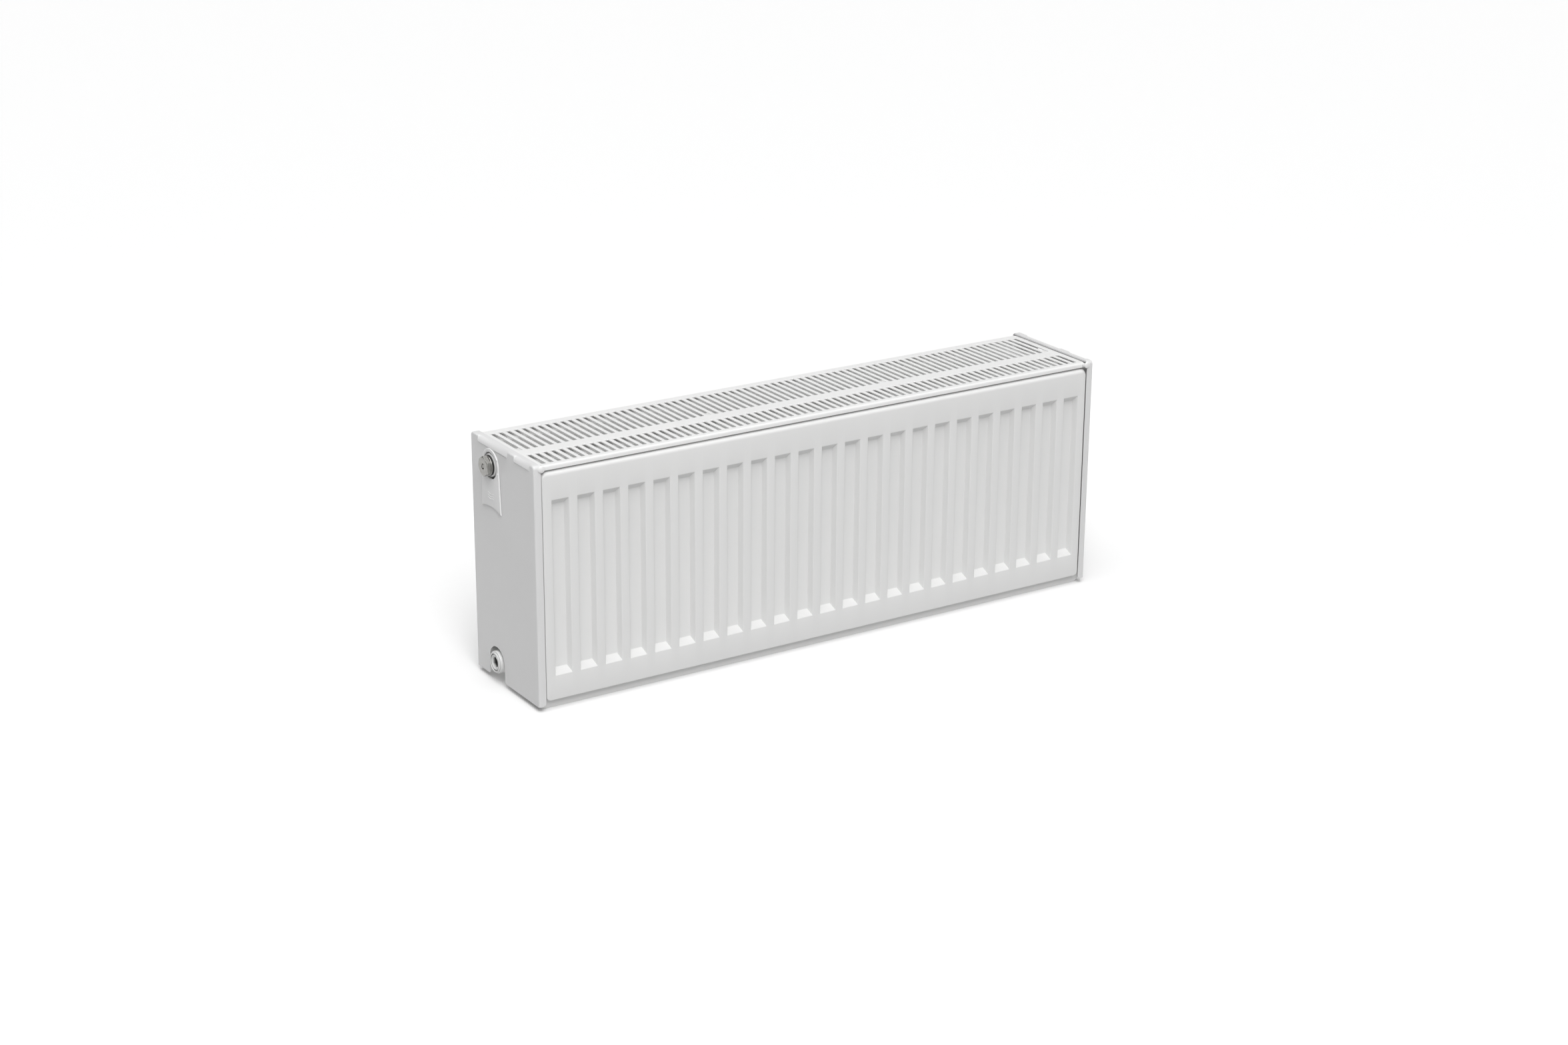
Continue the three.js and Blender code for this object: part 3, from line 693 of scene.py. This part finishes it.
# ---- bleed valve and blanking plug ----
VENT_HEX = 5.6
VENT_HEX_ACROSS = 22
VENT_COLLAR_R = 12
VENT_COLLAR = 1.2
VENT_BORE_R = 3.2
VENT_BORE_END = 12.6
SQUARE_HALF = 2.1
SQUARE_CORNER_R = 0.35
HEX_CHAMFER = 0.5
HEX_CHAMFER_SLOPE = 0.5
BORE_EDGE = 0.35
PLUG_SHANK = 13
SHANK_R = 9.3
SEAL_R = 1.15
SEAL_RING_R = 11.3
WASHER_R = 0.4
WASHER_RING_R = 10.2
BLANK_FLANGE_R = 12.4
BLANK_SOCKET_ACROSS = 12


def hex_radius(across, angle, turn=30):
    """Distance from the axis to a hexagon's side at an angle in degrees; turn aims its corners."""
    return across / 2 / math.cos(math.radians((angle + turn) % 60 - 30))


def hex_angles(turn=30, steps=8):
    """Angles that include the hexagon's six corners."""
    return [60 * k - turn + 60 * i / steps for k in range(6) for i in range(steps)]


def polar_row(shape, to_3d, reach, along):
    """A row round a port's axis. reach is a radius or a function of the angle; along is a place
    on the axis or a function of the radius."""
    points = []
    for angle in hex_angles():
        radius = reach(angle) if callable(reach) else reach
        place = along(radius) if callable(along) else along
        a = math.radians(angle)
        points.append(to_3d(radius * math.cos(a), radius * math.sin(a), place))
    return shape.add(points)


def ported(outline, to_3d):
    """A closed body from rows round a port's axis."""
    shape = Mesh()
    rows = [polar_row(shape, to_3d, reach, along) for reach, along in outline]
    shape.skin(rows)
    shape.cap(rows[0], rows[-1])
    return shape


def vent_body():
    """The plug's hexagon, chamfered as on a lathe, its collar and its shank."""
    flat_r = VENT_HEX_ACROSS / 2 - HEX_CHAMFER
    side = lambda angle: hex_radius(VENT_HEX_ACROSS, angle)
    fall = lambda radius: -max(0.0, radius - flat_r) * HEX_CHAMFER_SLOPE
    outline = [(VENT_BORE_R, -VENT_BORE_END), (VENT_BORE_R, -BORE_EDGE),
               (VENT_BORE_R + BORE_EDGE, 0), (5.2, 0), (7.4, 0), (flat_r, 0)]
    for part in (0.5, 1):
        outline.append((lambda a, p=part: flat_r + (side(a) - 0.12 - flat_r) * p, fall))
    outline += [(side, lambda r: fall(r) - 0.22), (side, -VENT_HEX + 0.5),
                (lambda a: side(a) - 0.5, -VENT_HEX)]
    collar = ((VENT_COLLAR_R - 1.6, 0), (VENT_COLLAR_R - 0.5, 0), (VENT_COLLAR_R - 0.1, 0.2),
              (VENT_COLLAR_R, 0.5), (VENT_COLLAR_R, VENT_COLLAR), (SHANK_R, VENT_COLLAR),
              (SHANK_R, VENT_COLLAR + PLUG_SHANK - 1), (SHANK_R - 1, VENT_COLLAR + PLUG_SHANK))
    outline += [(radius, -VENT_HEX - down) for radius, down in collar]
    shape = ported(outline, leftwards(PORT_HIGH, VENT_FACE_X))
    piece("bleed_valve_body", shape.verts, shape.faces, NICKEL_PAINTED_DARK_REFLECTION, "radiator_body",
          ["vent_plug_body"], sharp=20)


def vent_screw():
    """The bleed screw: a square end for the key on a round stem."""
    to_3d = leftwards(PORT_HIGH, VENT_FACE_X)
    shape = Mesh()
    reach = SQUARE_HALF - SQUARE_CORNER_R
    corners = ((reach, reach), (-reach, reach), (-reach, -reach), (reach, -reach))
    square = []
    for k, corner in enumerate(corners):
        square += arc(corner, SQUARE_CORNER_R, 90 * k, 90 * k + 90, 3)
    rows = []
    for scale, along in ((1, -4.4), (1, -0.8), (0.94, -0.5), (0.82, -0.42)):
        rows.append(shape.add([to_3d(u * scale, v * scale, along) for u, v in square]))
    shape.skin(rows)
    shape.cap(rows[0], rows[-1])
    stem = [(1.1, -12), (2.9, -10), (2.9, -4.6), (2.6, -4.3)]
    turned(shape, stem, to_3d, 32)
    piece("bleed_screw_stem", shape.verts, shape.faces, NICKEL_PAINTED_DARK_REFLECTION, "bleed_screw", ["vent_screw"],
          sharp=30)


def ring_seal(name, radius, section, z, node, around=56):
    """A rubber ring round a port's axis, in the middle of its node."""
    low, high = span(node)
    to_3d = leftwards(z, -(low.x + high.x) / 2)
    shape = Mesh()
    rows = []
    for k in range(around):
        turn = 2 * math.pi * k / around
        rows.append(shape.add([to_3d(u * math.cos(turn), u * math.sin(turn), v)
                               for u, v in circle((radius, 0), section, 16)]))
    shape.skin(rows + rows[:1])
    piece(name, shape.verts, shape.faces, RUBBER, "radiator_body", [node], sharp=80)


def blanking_plug():
    """A coated plug with a raised rim, a dished face with one ring, and a hexagon socket."""
    socket = lambda angle: hex_radius(BLANK_SOCKET_ACROSS, angle)
    outline = (
        (1.2, -13.2), (lambda a: socket(a) * 0.8, -12.4), (socket, -11.8), (socket, -1.6),
        (lambda a: socket(a) + 0.4, -1.2), (7.7, -1.15), (8, -0.5), (8.3, -0.3), (8.9, -0.3),
        (9.2, -0.5), (9.35, -1.1), (10.3, -1.15), (10.5, -0.5), (10.8, 0), (11.4, 0.1), (12, 0),
        (BLANK_FLANGE_R, -0.4), (BLANK_FLANGE_R, -1.45), (SHANK_R, -1.5),
        (SHANK_R, -1.5 - PLUG_SHANK),
    )
    shape = ported(outline, leftwards(PORT_LOW, BLANK_FACE_X))
    # The plug's paint carries painted shade inside the socket.
    piece("blanking_plug_body", shape.verts, shape.faces, PLUG_ENAMEL_SOCKET_SHADE, "radiator_body",
          ["blanking_plug"], sharp=40)


def port_fittings():
    vent_body()
    vent_screw()
    ring_seal("bleed_valve_o_ring", SEAL_RING_R, SEAL_R, PORT_HIGH, "vent_seal")
    ring_seal("blanking_plug_o_ring", WASHER_RING_R, WASHER_R, PORT_LOW, "blanking_plug_seal")
    blanking_plug()


# ---- top grille ----
SLOT_ROLL = 0.6
SLOT_LIP = 1.5
SLOT_CORNER_R = 1.0
GRILLE_SHEET = 0.8
GRILLE_BEND_R = 2.6
GRILLE_CORNER_R = 2.8
GRILLE_SKIRT = 5.6
GRILLE_TAIL = 2.6
KNOB_R = 4.4
KNOB_NECK_R = 2.4
KNOB_DROP = 2.2


def slot_outline(x, near, far, grow):
    """A slot's rounded outline, anticlockwise from above."""
    half = SLOT_HALF + grow
    radius = SLOT_CORNER_R + grow
    loop = arc((x + half - radius, near - grow + radius), radius, -90, 0, 3)
    loop += arc((x + half - radius, far + grow - radius), radius, 0, 90, 3)
    loop += arc((x - half + radius, far + grow - radius), radius, 90, 180, 3)
    loop += arc((x - half + radius, near - grow + radius), radius, 180, 270, 3)
    return loop


def grille_slot(shape, x, cell, near, far):
    """One slot in its own cell of the plate, with its edges rolled down."""
    steps = ((SLOT_ROLL, 0), (0.35 * SLOT_ROLL, 0.12), (0.1 * SLOT_ROLL, 0.35), (0, SLOT_ROLL),
             (0, SLOT_LIP))
    rows = []
    for grow, drop in steps:
        loop = slot_outline(x, near, far, grow)
        rows.append(shape.add([(u, v, GRILLE_TOP - drop) for u, v in loop]))
    shape.skin(rows)
    x0, x1, y0, y1 = cell
    corners = shape.add([(a, b, GRILLE_TOP) for a, b in ((x1, y0), (x1, y1), (x0, y1), (x0, y0))])
    outer = rows[0]
    quarter = len(outer) // 4
    for k in range(4):
        turn = outer[quarter * k:quarter * (k + 1)]
        shape.fan(turn, corners[k])
        after = outer[quarter * (k + 1) % len(outer)]
        shape.faces.append((turn[-1], after, corners[(k + 1) % 4], corners[k]))


def grille_edge():
    """Stations round the plate: (x, y, outward x, outward y, how much skirt it has)."""
    r = GRILLE_CORNER_R
    half = GRILLE_HALF - r
    stations = []
    for y_sign in (-1, 1):
        corner_y = GRILLE_FRONT + r if y_sign < 0 else GRILLE_REAR - r
        for x_sign in (y_sign, -y_sign):
            side = []
            for share, part in ((0, 1), (0.3, 0.65), (0.6, 1 / 3)):
                y = corner_y - y_sign * GRILLE_TAIL * part
                side.append((x_sign * GRILLE_HALF, y, x_sign, 0, share))
            for i in range(9):
                share = min(1.0, 0.85 + 0.1 * i)
                a = math.radians(90 * i / 8)
                u, v = x_sign * math.cos(a), y_sign * math.sin(a)
                side.append((x_sign * half + r * u, corner_y + r * v, u, v, share))
            stations += side if x_sign == y_sign else side[::-1]
            if x_sign == y_sign:
                for i in range(1, 16):
                    x = x_sign * half * (1 - i / 8)
                    stations.append((x, corner_y + y_sign * r, 0, y_sign, 1))
    return stations


def grille():
    """The slotted plate, its rolled edge and the skirt round it."""
    shape = Mesh()
    pitch = SLOT_SPAN / (SLOTS - 1)
    edges = [-SLOT_SPAN / 2 + (i - 0.5) * pitch for i in range(SLOTS + 1)]
    margin = SLOT_ROLL + 1
    windows = []
    for near, far in SLOT_ROWS:
        for i in range(SLOTS):
            cell = (edges[i], edges[i + 1], near - margin, far + margin)
            grille_slot(shape, (edges[i] + edges[i + 1]) / 2, cell, near, far)
        windows.append([(x, near - margin) for x in edges]
                       + [(x, far + margin) for x in reversed(edges)])

    profile = [(GRILLE_BEND_R + 0.7, 0), *bend(GRILLE_BEND_R)]
    profile += [(0, (GRILLE_BEND_R + GRILLE_SKIRT) / 2), (0, GRILLE_SKIRT)]
    stations = grille_edge()
    rows = []
    for inset, drop in profile:
        rows.append(shape.add([(x - u * inset * share, y - v * inset * share,
                                GRILLE_TOP - drop * share) for x, y, u, v, share in stations]))
    shape.skin(rows)
    outline = [shape.verts[i][:2] for i in rows[0]]
    shape.flat_fill(outline, windows, lambda x, y: (x, y, GRILLE_TOP))
    # The grille takes the lighter copy of the paint: painted light on the top.
    piece("slotted_grille", shape.verts, shape.faces, GRILLE_ENAMEL_PAINTED_LIGHT, "grille", ["top_grille"],
          sheet=GRILLE_SHEET, sharp=42)


def grille_knob(name, side):
    """The button at a front corner of the grille, in front of the side cover's corner."""
    centre_z = GRILLE_TOP - KNOB_DROP
    shape = Mesh()
    neck = [(KNOB_NECK_R, GRILLE_FRONT + 0.3), (KNOB_NECK_R, -0.2)]
    dome = [(KNOB_R - 0.2, -0.15), (KNOB_R, -0.4), (KNOB_R * 0.97, -0.9), (KNOB_R * 0.86, -1.5),
            (KNOB_R * 0.66, -2), (KNOB_R * 0.36, -2.3), (0.02, -2.4)]
    turned(shape, neck, backwards(side * (GRILLE_HALF - 2.6), centre_z), 24)
    turned(shape, dome, backwards(side * (GRILLE_HALF + 0.4), centre_z), 32)
    # The knob takes the grille's lighter copy of the paint: painted light.
    piece(name, shape.verts, shape.faces, GRILLE_ENAMEL_PAINTED_LIGHT, "grille", ["top_grille"],
          sharp=50)


# ---- side covers ----
COVER_BEND_R = 1.9
COVER_CORNER_R = 4.5
COVER_FOOT_R = 4
COVER_LIP = 2
NOTCH_CORNER_R = 3
BEADS = ((8.8, 48), (62.5, 137))
BEAD_END = 2
BEAD_DROP = 8.2
BEAD_PROUD = 1.2
BEAD_REACH = 3.8


def bead_share(y):
    """How far a place along the top edge stands out: 0 plain, 1 fully."""
    share = 0.0
    for start, end in BEADS:
        inside = min(y - start, end - y) / BEAD_END
        share = max(share, min(1.0, inside))
    return share * share * (3 - 2 * share)


def cover_sections():
    """The cover's edge, from the side plate round the bend and along the flange, as pairs: the
    inset from the outline and the depth in from the side plate's face."""
    width = END_X - COVER_INNER_X
    plain = [(COVER_BEND_R + 0.7, 0), *bend(COVER_BEND_R)]
    beaded = [(BEAD_DROP + 0.7, 0), (BEAD_DROP, 0), (BEAD_DROP - 0.9, -BEAD_PROUD * 0.6),
              (BEAD_DROP - 1.9, -BEAD_PROUD), (BEAD_DROP - 3.6, -BEAD_PROUD * 0.6),
              (2.2, BEAD_REACH * 0.2), (0.7, BEAD_REACH * 0.65), (0, BEAD_REACH)]
    flange = [width - COVER_FOOT_R + COVER_FOOT_R * math.sin(math.radians(a))
              for a in (0, 25, 45, 60, 75, 90)]
    return plain, beaded, flange


def cover_spine():
    """Stations round the open outline: (point, outward direction, how much it is beaded)."""
    r = COVER_CORNER_R
    heights = (COVER_BOTTOM, COVER_BOTTOM + COVER_FOOT_R, 60, 140, 220, COVER_TOP - r)
    stations = [((0, z), (-1, 0), 0) for z in heights]
    for u, v in arc((0, 0), 1, 180, 90, 6)[1:-1]:
        stations.append(((r + r * u, COVER_TOP - r + r * v), (u, v), 0))
    ys = [r]
    for start, end in BEADS:
        steps = [BEAD_END * i / 4 for i in range(5)]
        ys += [start + s for s in steps] + [end - s for s in reversed(steps)]
    ys.append(DEPTH - r)
    for y in ys:
        stations.append(((y, COVER_TOP), (0, 1), bead_share(y)))
    for u, v in arc((0, 0), 1, 90, 0, 6)[1:-1]:
        stations.append(((DEPTH - r + r * u, COVER_TOP - r + r * v), (u, v), 0))
    stations += [((DEPTH, z), (1, 0), 0) for z in reversed(heights)]
    return stations


def port_openings():
    """The notch in the plate's foot, which joins on to its outline, and the upper hole."""
    r = NOTCH_CORNER_R
    front, rear = PORT_Y - COVER_NOTCH_R, PORT_Y + COVER_NOTCH_R
    notch = arc((rear + r, COVER_BOTTOM + r), r, 270, 180, 4)
    notch += arc((PORT_Y, PORT_LOW), COVER_NOTCH_R, 0, 180, 28)
    notch += arc((front - r, COVER_BOTTOM + r), r, 0, -90, 4)
    return notch, circle((PORT_Y, PORT_HIGH), COVER_HOLE_R)


def side_cover(name, side, body):
    """A folded pan: side plate with both port openings, and a flange in front, above and behind."""
    plain, beaded, flange = cover_sections()
    stations = cover_spine()
    shape = Mesh()
    rows = []
    outline = []
    for i, (flat, proud) in enumerate(zip(plain, beaded)):
        row = []
        for (y, z), (out_y, out_z), share in stations:
            inset = flat[0] + (proud[0] - flat[0]) * share
            depth = flat[1] + (proud[1] - flat[1]) * share
            row.append((side * (END_X - depth), y - out_y * inset, z - out_z * inset))
        if i == 0:
            outline = [(p[1], p[2]) for p in row]
        rows.append(shape.add(row))
    width = END_X - COVER_INNER_X
    for depth in flange:
        over = max(0.0, depth - (width - COVER_FOOT_R))
        lift = COVER_FOOT_R - math.sqrt(max(0.0, COVER_FOOT_R ** 2 - over ** 2))
        rows.append(shape.add([(side * (END_X - depth), y, max(z, COVER_BOTTOM + lift))
                               for (y, z), _, _ in stations]))
    rows.append(shape.add([(side * COVER_INNER_X, y, max(z, COVER_BOTTOM + COVER_FOOT_R)
                            - COVER_LIP * max(0.0, out_z) ** 3)
                           for (y, z), (_, out_z), _ in stations]))
    shape.skin(rows, closed=False)

    notch, hole = port_openings()
    shape.flat_fill(outline + notch, [hole], lambda y, z: (side * END_X, y, z))
    # The covers take the darker copy of the paint: painted shade on the sides.
    piece(name + "_pan", shape.verts, shape.faces, COVER_ENAMEL_PAINTED_SHADE, body, [name],
          sheet=COVER_SHEET, sharp=36)


# ---- badge ----
BADGE_DEPTH = 1.7
BADGE_HOLE_R = 16
BADGE_HOLE_DROP = 0.7
BADGE_TOP_HALF = 20
BADGE_FOOT_HALF = 23.5
BADGE_FOOT_RISE = 4
WAVE_REACH = 9
WAVE_HEIGHT = 0.7
WAVE_LEVELS = (-35, -38, -41)
RIB_LEVELS = (10.5, -6)
RIB_STATIONS = ((-17.6, 0.3), (-17.9, 0.55), (-19.6, 0.55), (-20, 0.2))
RIB_WIDTH = 0.9 / 0.55
RIB_HEIGHT = 1.3


def badge_outline(inset):
    """The badge's outline about the port axis: an arch, flared sides and a hollowed foot."""
    top = BADGE_TOP_HALF - inset
    foot = BADGE_FOOT_HALF - inset
    drop = BADGE_FOOT_Z - PORT_HIGH + inset
    loop = arc((0, 0), top, 0, 180, 28)
    for i in range(1, 9):
        share = i / 9
        loop.append((-top - (foot - top) * share, drop * share))
    for i in range(17):
        share = i / 16 * 2 - 1
        loop.append((foot * share, drop + BADGE_FOOT_RISE * (1 - share * share)))
    for i in range(8, 0, -1):
        share = i / 9
        loop.append((top + (foot - top) * share, drop * share))
    return loop


def ridge(shape, to_3d, stations):
    """A half-round ridge standing on the badge; stations are (u, v, half width, height)."""
    rows = []
    for u, v, half, height in stations:
        rows.append(shape.add([to_3d(u, v + half * a, height * b - 0.05)
                               for a, b in arc((0, 0), 1, 0, 180, 6)]))
    shape.skin(rows)
    shape.cap(rows[0], reversed(rows[-1]))


def wave(level, count=24):
    """The stations of a gentle wave that thins out at both ends."""
    stations = []
    for i in range(count + 1):
        share = i / count
        u = WAVE_REACH * (2 * share - 1)
        v = level + WAVE_HEIGHT * math.sin(2 * math.pi * 1.5 * share)
        thin = max(0.15, min(1.0, 6 * share, 6 * (1 - share)))
        stations.append((u, v, 0.55 * thin, 0.5 * thin))
    return stations


def badge():
    """The plate round the bleed valve, with raised waves and two ribs by its hole."""
    back_x = span("port_badge")[1].x
    to_3d = lambda u, v, proud: (back_x - BADGE_DEPTH - proud, PORT_Y + u, PORT_HIGH + v)
    shape = Mesh()
    rows = []
    steps = ((0, -BADGE_DEPTH), (0, -0.9), (0.15, -0.4), (0.45, -0.1), (0.9, 0))
    for inset, proud in steps:
        rows.append(shape.add([to_3d(u, v, proud) for u, v in badge_outline(inset)]))
    shape.skin(rows)
    hole = lambda grow: circle((0, -BADGE_HOLE_DROP), BADGE_HOLE_R + grow)
    shape.flat_fill(badge_outline(steps[-1][0]), [hole(0.7)], lambda u, v: to_3d(u, v, 0))
    shape.flat_fill(badge_outline(0), [hole(0)], lambda u, v: to_3d(u, v, -BADGE_DEPTH))
    collar = []
    for grow, proud in ((0.7, 0), (0.25, -0.12), (0, -0.5), (0, -BADGE_DEPTH)):
        collar.append(shape.add([to_3d(u, v, proud) for u, v in hole(grow)]))
    shape.skin(collar)
    for level in WAVE_LEVELS:
        ridge(shape, to_3d, wave(level))
    for level in RIB_LEVELS:
        ridge(shape, to_3d, [(u, level, size * RIB_WIDTH, size * RIB_HEIGHT)
                             for u, size in RIB_STATIONS])
    piece("port_badge_moulding", shape.verts, shape.faces, BADGE_PLASTIC, "left_cover",
          ["port_badge"], sharp=30)


# ---- clips and hanging lugs ----
CLIP_SHEET = 0.8
CLIP_BEND_R = 1.0
COVER_CLIP_BEND_R = 0.9
LUG_SHEET = 1.5
LUG_BEND_R = 1.6
LUG_FOOT_HALF = 13
LUG_CREST_HALF = 11
SEAM_REAR_Y = span("middle_panel_rear_sheet")[1].y - SHALLOW_RISE
SEAM_GAP = 0.3


def grille_clip(name):
    """A spring clip over the middle panel's top seam, with a wing under the grille."""
    low, high = span(name)
    half = CLIP_SHEET / 2
    top = high.z - half
    line = [(low.y + half, low.z - 0.6), (low.y + half + 0.1, low.z + 2), (low.y + half, top),
            (high.y, top)]
    leg_y = SEAM_REAR_Y + SEAM_GAP + half
    leg = [(leg_y + 0.5, low.z - 0.4), (leg_y, low.z + 2), (leg_y, top)]
    shape = Mesh()
    to_3d = lambda u, v, w: (w, u, v)
    strip(shape, rounded_line(line, CLIP_BEND_R, 3), to_3d, low.x, high.x)
    strip(shape, rounded_line(leg, CLIP_BEND_R, 3), to_3d, low.x + 2, high.x - 2)
    piece(name + "_spring", shape.verts, shape.faces, SPRING_STEEL, "grille", [name],
          sheet=CLIP_SHEET, centred=True, bevel=0.12)


def cover_clip(name, side, body):
    """A spring clip on the inside of a side cover, over the middle panel's side seam."""
    low, high = span(name)
    half = CLIP_SHEET / 2
    web = side * (max(abs(low.x), abs(high.x)) - half)
    tip = side * min(abs(low.x), abs(high.x))
    line = [(tip, low.y + half - 0.5), (tip + side * 1.6, low.y + half), (web, low.y + half),
            (web, high.y - half), (tip + side * 1.6, high.y - half), (tip, high.y - half + 0.5)]
    shape = Mesh()
    strip(shape, rounded_line(line, COVER_CLIP_BEND_R, 3), lambda u, v, w: (u, v, w),
          low.z, high.z)
    piece(name + "_spring", shape.verts, shape.faces, SPRING_STEEL, body, [name],
          sheet=CLIP_SHEET, centred=True, bevel=0.12)


def lug(name):
    """A hat-shaped strap on the back."""
    low, high = span(name)
    middle = (low.x + high.x) / 2
    inside = low.y + LUG_SHEET / 2
    outside = high.y - LUG_SHEET / 2
    line = [(low.x, inside), (middle - LUG_FOOT_HALF, inside), (middle - LUG_CREST_HALF, outside),
            (middle + LUG_CREST_HALF, outside), (middle + LUG_FOOT_HALF, inside), (high.x, inside)]
    shape = Mesh()
    strip(shape, rounded_line(line, LUG_BEND_R), lambda u, v, w: (u, v, w), low.z, high.z)
    piece(name + "_strap", shape.verts, shape.faces, ENAMEL, "radiator_body", [name],
          sheet=LUG_SHEET, centred=True, bevel=0.25)


def clips_and_lugs():
    for i in range(1, 5):
        grille_clip(f"grille_clip_{i}")
    for side_name, side in (("left", -1), ("right", 1)):
        for level in ("lower", "upper"):
            cover_clip(f"{side_name}_cover_clip_{level}", side, f"{side_name}_cover")
            lug(f"{level}_{side_name}_lug")


# ---- stage, light and camera ----
CAMERA_PLACE = (-1787, -2655, 1314)
CAMERA_YAW = -32.97
CAMERA_PITCH = -19.87
CAMERA_ROLL = -0.39
CAMERA_LENS = 64.55
CAMERA_SENSOR = 36
FLOOR_REACH = 40
FLOOR_GAP = 0.0005
TENT_BELOW = 0.55
TENT_ABOVE = 0.24
TENT_EDGE = 0.2
KEY = 1.06
KEY_WAY = (-0.29, -0.66, 0.69)
KEY_SPREAD = 32
SOFTBOX = 0.4
SOFTBOX_DISTANCE = 2.2
SOFTBOX_SIZE = 0.95
OVERHEAD = 1.78
OVERHEAD_WAY = (-0.1, -0.15, 1)
OVERHEAD_SPREAD = 60


def stage():
    """A wide sheet of pale paper under the radiator."""
    mesh = bpy.data.meshes.new("floor")
    reach = FLOOR_REACH
    mesh.from_pydata([(-reach, -reach, 0), (reach, -reach, 0), (reach, reach, 0),
                      (-reach, reach, 0)], [], [(0, 1, 2, 3)])
    floor = linked("floor", mesh)
    floor.location.z = CAD_BOX[0][2] - FLOOR_GAP
    floor.visible_diffuse = False
    paper = Surface("floor_paper", 0.9)
    paper.inputs["Base Color"].default_value = (0.98, 0.98, 0.98, 1)
    mesh.materials.append(paper.material)


def sunlight(name, strength, spread, way):
    """A soft, even light that comes from a direction given towards the light."""
    lamp = bpy.data.lights.new(name, "SUN")
    lamp.energy = strength
    lamp.angle = math.radians(spread)
    obj = linked(name, lamp)
    obj.rotation_euler = (-Vector(way)).to_track_quat("-Z", "Y").to_euler()


def softbox():
    """A round softbox beside the key, near enough to fade a little from left to right."""
    lamp = bpy.data.lights.new("softbox", "AREA")
    lamp.shape = "DISK"
    lamp.size = SOFTBOX_SIZE
    lamp.energy = SOFTBOX * math.pi * SOFTBOX_DISTANCE ** 2
    obj = linked("softbox", lamp)
    way = Vector(KEY_WAY).normalized()
    obj.location = ORIGIN + Vector((0, DEPTH / 2, PANEL_TOP / 2)) * MM + way * SOFTBOX_DISTANCE
    obj.rotation_euler = (-way).to_track_quat("-Z", "Y").to_euler()


def studio_light():
    """A pale light tent, a key with a softbox from the front left and a broad light overhead."""
    world = bpy.data.worlds.new("studio")
    bpy.context.scene.world = world
    world.use_nodes = True
    nodes, links = world.node_tree.nodes, world.node_tree.links
    place = nodes.new("ShaderNodeTexCoord")
    axes = nodes.new("ShaderNodeSeparateXYZ")
    links.new(place.outputs["Generated"], axes.inputs["Vector"])
    level = nodes.new("ShaderNodeMapRange")
    level.interpolation_type = "SMOOTHSTEP"
    for socket, value in zip(level.inputs[1:5], (-TENT_EDGE, TENT_EDGE, TENT_BELOW, TENT_ABOVE)):
        socket.default_value = value
    links.new(axes.outputs["Z"], level.inputs["Value"])
    links.new(level.outputs["Result"], nodes["Background"].inputs["Strength"])
    nodes["Background"].inputs["Color"].default_value = (1, 1, 1, 1)
    sunlight("key", KEY, KEY_SPREAD, KEY_WAY)
    softbox()
    sunlight("overhead", OVERHEAD, OVERHEAD_SPREAD, OVERHEAD_WAY)
    bpy.context.scene.view_settings.view_transform = "Standard"


def camera():
    """A camera that is turned about its own axes, without any shift of the lens."""
    data = bpy.data.cameras.new("camera")
    data.lens = CAMERA_LENS
    data.sensor_width = CAMERA_SENSOR
    data.clip_end = 100
    eye = linked("camera", data)
    turn = (Matrix.Rotation(math.radians(CAMERA_YAW), 4, "Z")
            @ Matrix.Rotation(math.radians(CAMERA_PITCH), 4, "X")
            @ Matrix.Rotation(math.radians(CAMERA_ROLL), 4, "Y")
            @ Matrix.Rotation(math.radians(90), 4, "X"))
    eye.matrix_world = Matrix.Translation(ORIGIN + Vector(CAMERA_PLACE) * MM) @ turn
    bpy.context.scene.camera = eye


# ---- the whole ----
camera()
studio_light()
stage()
water_panels()
convector("front_convector", 1)
convector("middle_convector", 1)
convector("rear_convector", -1)
tees_and_links()
port_fittings()
grille()
grille_knob("grille_knob_left", -1)
grille_knob("grille_knob_right", 1)
side_cover("left_side_cover", -1, "left_cover")
side_cover("right_side_cover", 1, "right_cover")
badge()
clips_and_lugs()
